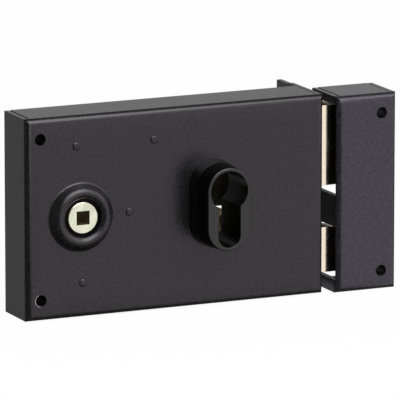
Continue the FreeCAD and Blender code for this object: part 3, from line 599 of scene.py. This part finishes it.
@dataclass(frozen=True)
class YellowZinc(Finish):
    """Yellow zinc plate, with the green and rose bloom that its passivation leaves."""

    roughness: float = 0.3
    metallic: float = 0.7
    bloom_size: float = 14 * MM
    fleck_size: float = 2.2 * MM
    fleck_share: float = 0.25
    mill_size: float = 0.3 * MM
    mill_depth: float = 0.008 * MM
    mill_roughness: float = 0.18
    tints: Stops = ((0.3, (0.7, 0.66, 0.34, 1.0)), (0.44, (0.78, 0.7, 0.38, 1.0)),
                    (0.52, (0.78, 0.64, 0.46, 1.0)), (0.6, (0.66, 0.7, 0.44, 1.0)),
                    (0.72, (0.8, 0.73, 0.44, 1.0)))

    def lay(self, graph: Graph) -> None:
        """Lay the plate's nodes.

        Args:
            graph: the material's graph.
        """
        bloom = graph.noise(self.bloom_size, 3.0)
        fleck = graph.noise(self.fleck_size, 3.0, shift=0.3)
        mill = graph.noise(self.mill_size, grain=Grain.ROLLED)
        tint = graph.ramp(bloom * (1 - self.fleck_share) + fleck * self.fleck_share, self.tints)
        roughness = self.roughness + mill.sway(self.mill_roughness)
        normal = graph.bump(mill, self.mill_depth)
        graph.surface(Base_Color=tint, Metallic=self.metallic, Roughness=roughness, Normal=normal)


@dataclass(frozen=True)
class TurnedFace(Finish):
    """Bright plate with the rings that a lathe leaves round an axis along Y, and painted shade in its
    square hole.
    """

    centre: Range
    light: Colour
    # The square hole's colour: an olive zinc tone, darkened as painted shade.
    inside: Colour
    hole_half: float = 3.02 * MM
    pitch: float = 0.32 * MM
    roughness: float = 0.26
    cloud_size: float = 5 * MM
    wander_size: float = 4 * MM
    ring_depth: float = 0.004 * MM
    cloud_range: Range = (0.35, 0.7)
    cloud_shade: float = 0.8
    ring_roughness: float = 0.05
    cloud_roughness: float = 0.15
    hole_roughness: float = 0.25

    def lay(self, graph: Graph) -> None:
        """Lay the turned face's nodes.

        Args:
            graph: the material's graph.
        """
        across, rise, reach = graph.off_axis(self.centre)
        wander = graph.noise(self.wander_size) * 0.6
        ring = graph.maths("SINE", reach * (2 * math.pi / self.pitch) + wander)
        cloud = graph.noise(self.cloud_size, 3.0)
        shade = tuple(value * self.cloud_shade for value in self.light[:3]) + (1.0,)
        colour = graph.blend(cloud.step(*self.cloud_range), self.light, shade)
        # The square hole takes the darker colour: painted shade over the zinc's olive tone.
        hole = (across * across).larger(rise * rise).below(self.hole_half ** 2)
        colour = graph.blend(hole, colour, self.inside)
        roughness = self.roughness + ring * self.ring_roughness + cloud.sway(self.cloud_roughness)
        normal = graph.bump(ring * 0.5 + 0.5, self.ring_depth)
        graph.surface(Base_Color=colour, Metallic=1.0, Roughness=roughness + hole * self.hole_roughness,
                      Normal=normal)


@dataclass(frozen=True)
class StakedSteel(Finish):
    """Zinc-plated posts whose staked ends, past the cover's face, are under its black coat."""

    face: float
    body: float = 0.002
    light: Colour = (0.66, 0.68, 0.72, 1.0)
    dark: Colour = (0.52, 0.54, 0.58, 1.0)
    roughness: float = 0.3
    grit_size: float = 0.32 * MM
    grit_depth: float = 0.006 * MM
    grit_roughness: float = 0.12
    turned_size: float = 0.2 * MM
    turned_range: Range = (0.4, 0.7)

    def lay(self, graph: Graph) -> None:
        """Lay the posts' nodes.

        Args:
            graph: the material's graph.
        """
        _, y, _ = graph.split(graph.place())
        inside = y.above(self.face)
        grit = graph.noise(self.grit_size, shift=0.4)
        turned = graph.noise(self.turned_size, grain=Grain.ALONG_X)
        zinc = graph.blend(turned.step(*self.turned_range), self.light, self.dark)
        colour = graph.blend(inside, grey(self.body), zinc)
        normal = graph.bump(grit, self.grit_depth)
        graph.surface(Base_Color=colour, Metallic=inside, Normal=normal,
                      Roughness=self.roughness + grit.sway(self.grit_roughness))


def cut(mesh: bmesh.types.BMesh, faces: Sequence[bmesh.types.BMFace], place: Sequence[float],
        normal: Sequence[float]) -> None:
    """Cut some faces of a mesh along a plane.

    Args:
        mesh: the mesh, which is changed.
        faces: the faces to cut.
        place: a point on the plane.
        normal: the plane's normal.
    """
    edges = {edge for face in faces for edge in face.edges}
    verts = {vert for face in faces for vert in face.verts}
    bmesh.ops.bisect_plane(mesh, geom=[*verts, *edges, *faces], plane_co=place, plane_no=normal,
                           dist=MERGED)


@dataclass(frozen=True)
class FoldedBox:
    """A sheet folded into a front and four walls, whose front falls away a little before each bend."""

    left: float
    right: float
    front: float
    bottom: float
    top: float
    bend: float = 3.0 * MM
    fall: float = 0.25 * MM
    reach: float = 6.0 * MM
    strips: int = 4

    @classmethod
    def around(cls, node: str, front: float) -> "FoldedBox":
        """Take the box from a CAD piece.

        Args:
            node: the CAD node.
            front: the plane of its front, in metres.

        Returns:
            The folded box.
        """
        low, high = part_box(node)
        return cls(low.x, high.x, front, low.z, high.z)

    def hollow(self) -> Hollow:
        """Give the form whose inner side loses its gloss as painted shade.

        Returns:
            The hollow form.
        """
        low = Vector((self.left, self.front, self.bottom))
        high = Vector((self.right, 0.0, self.top))
        return Hollow(low, high, self.bend)

    def relax(self, mesh: bmesh.types.BMesh) -> None:
        """Let the front fall away towards its bends.

        Args:
            mesh: the sheet, which is changed.
        """
        for strip in range(1, self.strips + 1):
            inset = self.bend + self.reach * strip / self.strips
            for place, normal in (((self.left + inset, 0, 0), ACROSS), ((self.right - inset, 0, 0), ACROSS),
                                  ((0, 0, self.bottom + inset), UP), ((0, 0, self.top - inset), UP)):
                front = [face for face in mesh.faces
                         if all(abs(vert.co.y - self.front) < COPLANAR for vert in face.verts)]
                cut(mesh, front, place, normal)
        for vert in mesh.verts:
            depth = vert.co.y - self.front
            if not -COPLANAR < depth < self.bend:
                continue
            inset = min(vert.co.x - self.left, self.right - vert.co.x, vert.co.z - self.bottom,
                        self.top - vert.co.z) - self.bend
            if inset < self.reach:
                share = (1 - max(inset, 0.0) / self.reach) ** 2
                vert.co.y += self.fall * share * (1 - max(depth, 0.0) / self.bend)


class SubAssembly:
    """What every sub-assembly shares: copies of CAD pieces, and finishes for pieces that stay."""

    def copy(self, node: str, name: str, body: str, finish: bpy.types.Material,
             shape: Optional[Shaping] = None) -> bpy.types.Object:
        """Copy a CAD piece as one joined mesh, and put the copy in its place.

        Args:
            node: the CAD node.
            name: the new piece's name.
            body: the body that it rides on.
            finish: its material.
            shape: what changes the copy's mesh, or None.

        Returns:
            The new piece.
        """
        mesh = bmesh.new()
        mesh.from_mesh(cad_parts[node].data)
        bmesh.ops.remove_doubles(mesh, verts=mesh.verts, dist=MERGED)
        if shape:
            shape(mesh)
        piece = self.place(mesh, name, body, finish)
        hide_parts(node)
        return piece

    @staticmethod
    def place(mesh: bmesh.types.BMesh, name: str, body: str,
              finish: bpy.types.Material) -> bpy.types.Object:
        """Turn a mesh into a smooth piece that rides on a body.

        Args:
            mesh: the mesh, which is freed.
            name: the piece's name.
            body: the body that it rides on.
            finish: its material.

        Returns:
            The piece.
        """
        for face in mesh.faces:
            face.smooth = True
        data = bpy.data.meshes.new(name)
        mesh.to_mesh(data)
        mesh.free()
        data.materials.clear()
        data.materials.append(finish)
        piece = bpy.data.objects.new(name, data)
        bpy.context.scene.collection.objects.link(piece)
        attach(piece, body)
        LOG.info("%s, %d faces", name, len(data.polygons))
        return piece

    @staticmethod
    def keep_flat(piece: bpy.types.Object) -> None:
        """Let the large faces look flat beside their rounded edges."""
        piece.modifiers.new("flat_faces", "WEIGHTED_NORMAL").mode = "FACE_AREA"

    def ease(self, node: str, name: str, body: str, width: float, finish: bpy.types.Material,
             shape: Optional[Shaping] = None) -> bpy.types.Object:
        """Copy a CAD piece with its sharp edges rounded over, and put the copy in its place.

        Args:
            node: the CAD node.
            name: the new piece's name.
            body: the body that it rides on.
            width: the width of the rounding, in metres.
            finish: its material.
            shape: what changes the copy's mesh before its edges are rounded, or None.

        Returns:
            The new piece.
        """
        def prepare(mesh: bmesh.types.BMesh) -> None:
            """Join the flat triangles into faces, then shape the mesh."""
            bmesh.ops.dissolve_limit(mesh, angle_limit=FLAT_ANGLE, verts=mesh.verts, edges=mesh.edges)
            if shape:
                shape(mesh)

        piece = self.copy(node, name, body, finish, prepare)
        rounding = piece.modifiers.new("rounding", "BEVEL")
        rounding.limit_method = "ANGLE"
        rounding.angle_limit = SHARP_ANGLE
        rounding.width = width
        rounding.segments = 2
        self.keep_flat(piece)
        return piece

    def dress(self, nodes: Iterable[str], finish: bpy.types.Material) -> None:
        """Give CAD pieces a finish.

        Args:
            nodes: the CAD nodes, which stay as they are.
            finish: their material.
        """
        for node in nodes:
            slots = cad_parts[node].data.materials
            slots.clear()
            slots.append(finish)
            LOG.info("%s: %s keeps its shape", type(self).__name__, node)


@dataclass
class Case(SubAssembly):
    """The folded cover, the collar, the posts and tubes, and the back plate."""

    edge: float = 0.16 * MM
    plate_edge: float = 0.12 * MM
    front: float = -24.0 * MM
    posts: tuple[str, ...] = ("dead_bolt_post", "lever_post", "latch_post", "spring_post")
    head_radius: float = 1.8 * MM
    head_flat: float = 1.1 * MM
    head_height: float = 0.45 * MM
    head_seat: float = 0.1 * MM
    head_arc_steps: int = 4
    head_sides: int = 32
    tab_round: float = 0.9 * MM
    tab_depth: float = 2.0 * MM
    tab_height: float = 5.0 * MM
    chip: Chip = Chip(centre=(-80.5 * MM, -44.0 * MM), radius=2.5 * MM, width=0.17 * MM,
                      bearing=math.radians(190), spread=math.radians(75))

    def build(self) -> None:
        """Make and dress the case's pieces."""
        cover = FoldedBox.around("case_cover", self.front)
        coat = PowderCoat("black_powder", cover.hollow(), chips=(self.chip,)).make()
        self.ease("case_cover", "cover_sheet", "lock_case", self.edge, coat, cover.relax)
        low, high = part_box("cylinder_collar")
        # The collar's bore loses its gloss, as painted shade inside it.
        bore = Hollow(low, high, (high.x - low.x) / 2, round_front=False)
        collar = Enamel("collar_enamel", hollow=bore).make()
        self.ease("cylinder_collar", "collar_tube", "lock_case", self.edge, collar)
        plate = YellowZinc("yellow_zinc").make()
        self.ease("back_plate", "rear_plate", "lock_case", self.plate_edge, plate, self.round_tabs)
        self.add_staked_heads(coat)
        self.dress(self.posts, StakedSteel("staked_steel", self.front).make())
        zinc = Plate("bright_zinc", (0.7, 0.72, 0.75, 1.0), (0.5, 0.52, 0.56, 1.0),
                     grain=Grain.ALONG_Y).make()
        self.dress(("back_plate_screws", "detent_rivet"), zinc)
        # The mounting tubes and the front bush are near black and almost glossless: painted shade in the
        # case's holes and in the gap round the hub.
        black = Enamel("hole_shade_black", body=0.0008, roughness=0.5, gloss=0.08).make()
        self.dress(("lower_mounting_tube", "upper_mounting_tube", "front_bush"), black)
        brass = Plate("bearing_brass", (0.83, 0.62, 0.3, 1.0), (0.6, 0.42, 0.2, 1.0)).make()
        self.dress(("follower_bush",), brass)

    def round_tabs(self, mesh: bmesh.types.BMesh) -> None:
        """Round the upright front edges of the back plate's tabs.

        Args:
            mesh: the back plate, which is changed.
        """
        foremost = min(vert.co.y for vert in mesh.verts) + self.tab_depth
        edges = [edge for edge in mesh.edges if all(vert.co.y < foremost for vert in edge.verts)
                 and abs(edge.verts[0].co.z - edge.verts[1].co.z) > self.tab_height]
        bmesh.ops.bevel(mesh, geom=edges, offset=self.tab_round, affect="EDGES", segments=4, profile=0.5,
                        material=-1)

    def add_staked_heads(self, finish: bpy.types.Material) -> None:
        """Put a low head on each staked end, as wide as the blow has spread it.

        Args:
            finish: the heads' material.
        """
        mesh = bmesh.new()
        for node in self.posts:
            low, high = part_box(node)
            centre = (low + high) / 2
            outline = [(0.0, self.head_height), (self.head_flat, self.head_height)]
            for step in range(1, self.head_arc_steps + 1):
                turn = math.pi / 2 * step / self.head_arc_steps
                outline.append((self.head_flat + (self.head_radius - self.head_flat) * math.sin(turn),
                                self.head_height * math.cos(turn)))
            outline.append((self.head_radius, -self.head_seat))
            outline.append((0.0, -self.head_seat))
            verts = [mesh.verts.new((centre.x + reach, self.front - rise, centre.z))
                     for reach, rise in outline]
            edges = [mesh.edges.new(pair) for pair in zip(verts, verts[1:])]
            bmesh.ops.spin(mesh, geom=verts + edges, cent=(centre.x, 0, centre.z), axis=(0, 1, 0),
                           steps=self.head_sides, angle=2 * math.pi, use_merge=True)
        bmesh.ops.remove_doubles(mesh, verts=mesh.verts, dist=MERGED)
        bmesh.ops.recalc_face_normals(mesh, faces=mesh.faces)
        self.keep_flat(self.place(mesh, "staked_heads", "lock_case", finish))


@dataclass
class Works(SubAssembly):
    """The follower, the latch, the dead bolt, the lever and the springs."""

    bolt_edge: float = 0.25 * MM
    hub_edge: float = 0.12 * MM
    hub_axis: Range = (-62.0 * MM, -9.0 * MM)
    latch_throw: float = 12.0 * MM

    def build(self) -> None:
        """Make and dress the moving pieces and their springs."""
        # The square hole's dark olive is partly painted shade.
        hub = TurnedFace("hub_nickel", self.hub_axis, light=(0.88, 0.89, 0.71, 1.0),
                         inside=(0.36, 0.29, 0.16, 1.0)).make()
        self.ease("follower", "follower_hub", "follower", self.hub_edge, hub)
        bolt = Plate("bolt_plate", (0.99, 0.86, 0.7, 1.0), (0.93, 0.8, 0.65, 1.0), roughness=0.14,
                     scratch_depth=0.002 * MM, grain=Grain.ALONG_X).make()
        self.ease("dead_bolt", "dead_bolt_head", "dead_bolt", self.bolt_edge, bolt)
        self.ease("latch_bolt", "latch_head", "latch", self.bolt_edge, bolt)
        steel = Plate("plain_steel", (0.55, 0.56, 0.58, 1.0), (0.38, 0.39, 0.41, 1.0),
                      grain=Grain.ROLLED).make()
        self.dress(("dead_bolt_tail", "latch_tail", "latch_lever", "latch_drive_pin", "latch_spring_rod"),
                   steel)
        rivets = Plate("rivet_zinc", (0.68, 0.7, 0.73, 1.0), (0.48, 0.5, 0.54, 1.0)).make()
        self.dress(("dead_bolt_rivets", "latch_rivets"), rivets)
        wire = Plate("spring_steel", (0.42, 0.42, 0.44, 1.0), (0.26, 0.26, 0.28, 1.0),
                     roughness=0.28).make()
        self.dress(("follower_spring", "detent_spring"), wire)
        self.add_latch_coils(wire)

    def add_latch_coils(self, finish: bpy.types.Material) -> None:
        """Copy the latch's spring as a piece with a mesh of its own.

        Args:
            finish: its material.
        """
        coils = self.copy("latch_spring", "latch_coils", "lock_case", finish)
        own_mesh(coils)


@dataclass
class Strike(SubAssembly):
    """The folded box strike and the tubes of its screws.

    Its left wall stands nearer the case than the solid's, and its openings run on into the bend.
    """

    edge: float = 0.16 * MM
    sheet: float = 2.0 * MM
    front: float = -25.2 * MM
    fall: float = 0.1 * MM
    reach: float = 3.0 * MM
    nearer: float = 1.0 * MM
    lift: float = 0.4 * MM
    bend_opening: float = math.radians(24)
    box: FoldedBox = field(init=False)

    def __post_init__(self) -> None:
        """Take the box from the CAD piece, with its left wall moved."""
        solid = FoldedBox.around("strike_box", self.front)
        self.box = replace(solid, left=solid.left - self.nearer, fall=self.fall, reach=self.reach)

    def build(self) -> None:
        """Make and dress the strike's pieces."""
        coat = PowderCoat("strike_powder", self.box.hollow(), body=0.004, sheen=(1.07, 0.97, 1.22, 1.0),
                          gloss=0.62, grain_depth=0.03 * MM).make()
        self.ease("strike_box", "strike_sheet", "lock_case", self.edge, coat, self.reshape)
        tubes = Plate("tube_steel", (0.2, 0.2, 0.21, 1.0), (0.12, 0.12, 0.13, 1.0)).make()
        self.dress(("strike_tubes",), tubes)

    def reshape(self, mesh: bmesh.types.BMesh) -> None:
        """Move the left wall nearer the case, raise its openings a little and open its bend.

        Args:
            mesh: the strike, which is changed.
        """
        box = self.box
        for vert in mesh.verts:
            if vert.co.x < box.left + self.nearer + box.bend + NEAR:
                vert.co.x -= self.nearer
        start = box.front + box.bend
        levels = sorted({round(vert.co.z, 6) for vert in mesh.verts
                         if abs(vert.co.x - box.left) < NEAR and abs(vert.co.y - start) < NEAR
                         and box.bottom + box.bend < vert.co.z < box.top - box.bend})
        for vert in mesh.verts:
            if vert.co.x < box.left + self.sheet + NEAR and vert.co.y > start - NEAR and any(
                    abs(vert.co.z - level) < NEAR for level in levels):
                vert.co.z += self.lift
        for low, high in zip(levels[::2], levels[1::2]):
            self.open_bend(mesh, low + self.lift, high + self.lift)
        box.relax(mesh)

    def open_bend(self, mesh: bmesh.types.BMesh, low: float, high: float) -> None:
        """Run one opening on into the left bend.

        Args:
            mesh: the strike, which is changed.
            low: the opening's lower edge.
            high: its upper edge.
        """
        box = self.box
        axis = Vector((box.left + box.bend, box.front + box.bend, 0.0))

        def angle(place: Vector) -> float:
            """Give how far round the bend a place lies, from the wall."""
            return math.atan2(axis.y - place.y, axis.x - place.x)

        def bend_faces() -> list[bmesh.types.BMFace]:
            """Give the faces of the left bend, inside and out."""
            return [face for face in mesh.faces if all(
                vert.co.x < axis.x + NEAR and vert.co.y < axis.y + NEAR for vert in face.verts)]

        along = Vector((-math.sin(self.bend_opening), math.cos(self.bend_opening), 0.0))
        for place, normal in (((0, 0, low), UP), ((0, 0, high), UP), (axis, along)):
            cut(mesh, bend_faces(), place, normal)
        gone = [face for face in bend_faces() if low < face.calc_center_median().z < high
                and angle(face.calc_center_median()) < self.bend_opening]
        bmesh.ops.delete(mesh, geom=gone, context="FACES")
        middle = box.bend - self.sheet / 2
        ends = []
        for level in (low, high):
            rim = [vert for vert in mesh.verts if vert.is_boundary and abs(vert.co.z - level) < NEAR]
            rim.sort(key=lambda vert: angle(vert.co))
            outer = [vert for vert in rim if (vert.co.xy - axis.xy).length > middle]
            inner = [vert for vert in rim if (vert.co.xy - axis.xy).length < middle]
            mesh.faces.new(outer + inner[::-1])
            ends.append((outer[-1], inner[-1]))
        mesh.faces.new((ends[0][0], ends[0][1], ends[1][1], ends[1][0]))
        bmesh.ops.recalc_face_normals(mesh, faces=mesh.faces)


@dataclass(frozen=True)
class Card:
    """A bright patch of the surround in gloss.

    Over its ranges of a heading's X, Y and Z, it fades in to the right, out to the back and in upwards.
    """

    level: float
    right: Range
    back: Range
    rise: Range

    def glow(self, x: Maths, y: Maths, z: Maths) -> Maths:
        """Give how bright the card is in a heading, by its X, Y and Z."""
        return x.step(*self.right) * (1.0 - y.step(*self.back)) * z.step(*self.rise) * self.level


@dataclass
class Studio:
    """The floor, the lamp, the surround and the camera.

    The camera sees white all round. In gloss, the surround is a white card at the front right with a
    light box over it, dim at the front left and half lit behind, as the black coat in the photograph shows.
    """

    azimuth: float = math.radians(24.50)
    pitch: float = math.radians(11.69)
    position: Vector = field(default_factory=lambda: Vector((-1106.3, -2438.0, 542.5)) * MM)
    focal_pixels: float = 6306.0
    image_width: float = 400.0
    sensor: float = 36.0
    farthest: float = 20.0
    floor_size: float = 3.0
    floor_drop: float = 0.2 * MM
    floor_colour: Colour = grey(0.86)
    floor_share: float = 0.95
    ambient: float = 0.45
    dim: float = 0.11
    rear_start: Range = (0.45, 0.85)
    rear_rise: Range = (-0.2, 0.2)
    rear_low: float = 0.34
    rear_high: float = 0.56
    card: Card = Card(level=0.95, right=(-0.25, 0.15), back=(-0.3, 0.1), rise=(-0.85, -0.25))
    light_box: Card = Card(level=0.9, right=(-0.6, 0.0), back=(-0.4, 0.0), rise=(-0.15, 0.45))
    peak: float = 3.0
    lamp_offset: Vector = field(default_factory=lambda: Vector((0.0, -0.84, 1.0)))
    lamp_size: float = 1.2
    lamp_power: float = 15.0

    def build(self) -> None:
        """Set up the studio."""
        self.add_floor()
        self.add_surround()
        self.add_lamp()
        self.add_camera()
        bpy.context.scene.view_settings.view_transform = "Standard"

    def level(self, graph: Graph, heading: bpy.types.NodeSocket) -> Maths:
        """Give how bright the surround is in gloss, where 1 is white.

        Args:
            graph: the floor's or the world's graph.
            heading: the direction that is looked in.

        Returns:
            The brightness.
        """
        x, y, z = graph.split(heading)
        rear = z.step(*self.rear_rise) * (self.rear_high - self.rear_low) + self.rear_low
        behind = y.step(*self.rear_start) * rear
        return self.card.glow(x, y, z).larger(behind).larger(self.dim) + self.light_box.glow(x, y, z)

    def backdrop(self, graph: Graph, kind: str, heading: bpy.types.NodeSocket) -> bpy.types.NodeSocket:
        """Mix the white that the camera sees with what gloss sees.

        Args:
            graph: the floor's or the world's graph.
            kind: the shader's node type.
            heading: the direction that is looked in.

        Returns:
            The mixed shader.
        """
        white, low, high = (graph.node(kind, {}, {"Color": WHITE, "Strength": strength}).outputs[0]
                            for strength in (1.0, self.dim, self.peak))
        share = (self.level(graph, heading) - self.dim) / (self.peak - self.dim)
        return graph.overlay(graph.ray("Is Camera Ray"), graph.overlay(share, low, high), white)

    def add_floor(self) -> None:
        """Lay the floor under the lock."""
        mesh = bmesh.new()
        bmesh.ops.create_grid(mesh, x_segments=2, y_segments=2, size=self.floor_size)
        bmesh.ops.translate(mesh, verts=mesh.verts, vec=(0, 0, CAD_BOX[0].z - self.floor_drop))
        data = bpy.data.meshes.new("floor")
        mesh.to_mesh(data)
        mesh.free()
        floor = bpy.data.objects.new("floor", data)
        bpy.context.scene.collection.objects.link(floor)
        material = bpy.data.materials.new("pale_floor")
        graph = Graph(material)
        matt = graph.node("ShaderNodeBsdfDiffuse", {}, {"Color": self.floor_colour}).outputs[0]
        incoming = graph.node("ShaderNodeNewGeometry", {}, {}).outputs["Incoming"]
        heading = graph.node("ShaderNodeVectorMath", {"operation": "SCALE"}, {0: incoming, "Scale": -1.0})
        glow = self.backdrop(graph, "ShaderNodeEmission", heading.outputs[0])
        gloss = graph.ray("Is Glossy Ray").larger(graph.ray("Is Transmission Ray"))
        share = (graph.ray("Is Camera Ray") * self.floor_share).larger(gloss)
        graph.node("ShaderNodeOutputMaterial", {}, {"Surface": graph.overlay(share, matt, glow)})
        data.materials.append(material)

    def add_surround(self) -> None:
        """Make the world white to the camera, soft to what is matt, and cards on a dim ground to gloss."""
        world = bpy.data.worlds.new("surround")
        bpy.context.scene.world = world
        graph = Graph(world)
        soft = graph.node("ShaderNodeBackground", {}, {"Color": WHITE, "Strength": self.ambient}).outputs[0]
        heading = graph.node("ShaderNodeTexCoord", {}, {}).outputs["Generated"]
        pale = self.backdrop(graph, "ShaderNodeBackground", heading)
        mixed = graph.overlay(graph.ray("Is Diffuse Ray"), pale, soft)
        graph.node("ShaderNodeOutputWorld", {}, {"Surface": mixed})

    def add_lamp(self) -> None:
        """Hang a wide soft lamp in front of the lock and above it."""
        centre = (CAD_BOX[0] + CAD_BOX[1]) / 2
        data = bpy.data.lights.new("soft_box", "AREA")
        data.size = self.lamp_size
        data.energy = self.lamp_power
        lamp = bpy.data.objects.new("soft_box", data)
        lamp.location = centre + self.lamp_offset
        lamp.rotation_euler = (-self.lamp_offset).to_track_quat("-Z", "Y").to_euler()
        bpy.context.scene.collection.objects.link(lamp)

    def add_camera(self) -> None:
        """Put the camera where the photograph was taken from."""
        data = bpy.data.cameras.new("camera")
        data.sensor_width = self.sensor
        data.lens = self.focal_pixels / self.image_width * self.sensor
        data.clip_end = self.farthest
        camera = bpy.data.objects.new("camera", data)
        ahead = Vector((math.sin(self.azimuth) * math.cos(self.pitch),
                        math.cos(self.azimuth) * math.cos(self.pitch), -math.sin(self.pitch)))
        camera.location = self.position
        camera.rotation_euler = ahead.to_track_quat("-Z", "Y").to_euler()
        bpy.context.scene.collection.objects.link(camera)
        bpy.context.scene.camera = camera


def main() -> None:
    """Build the lock's looks and the studio round it."""
    logging.basicConfig(level=logging.INFO, format="%(message)s")
    for assembly in (Case(), Works(), Strike(), Studio()):
        assembly.build()


if __name__ == "__main__":
    main()
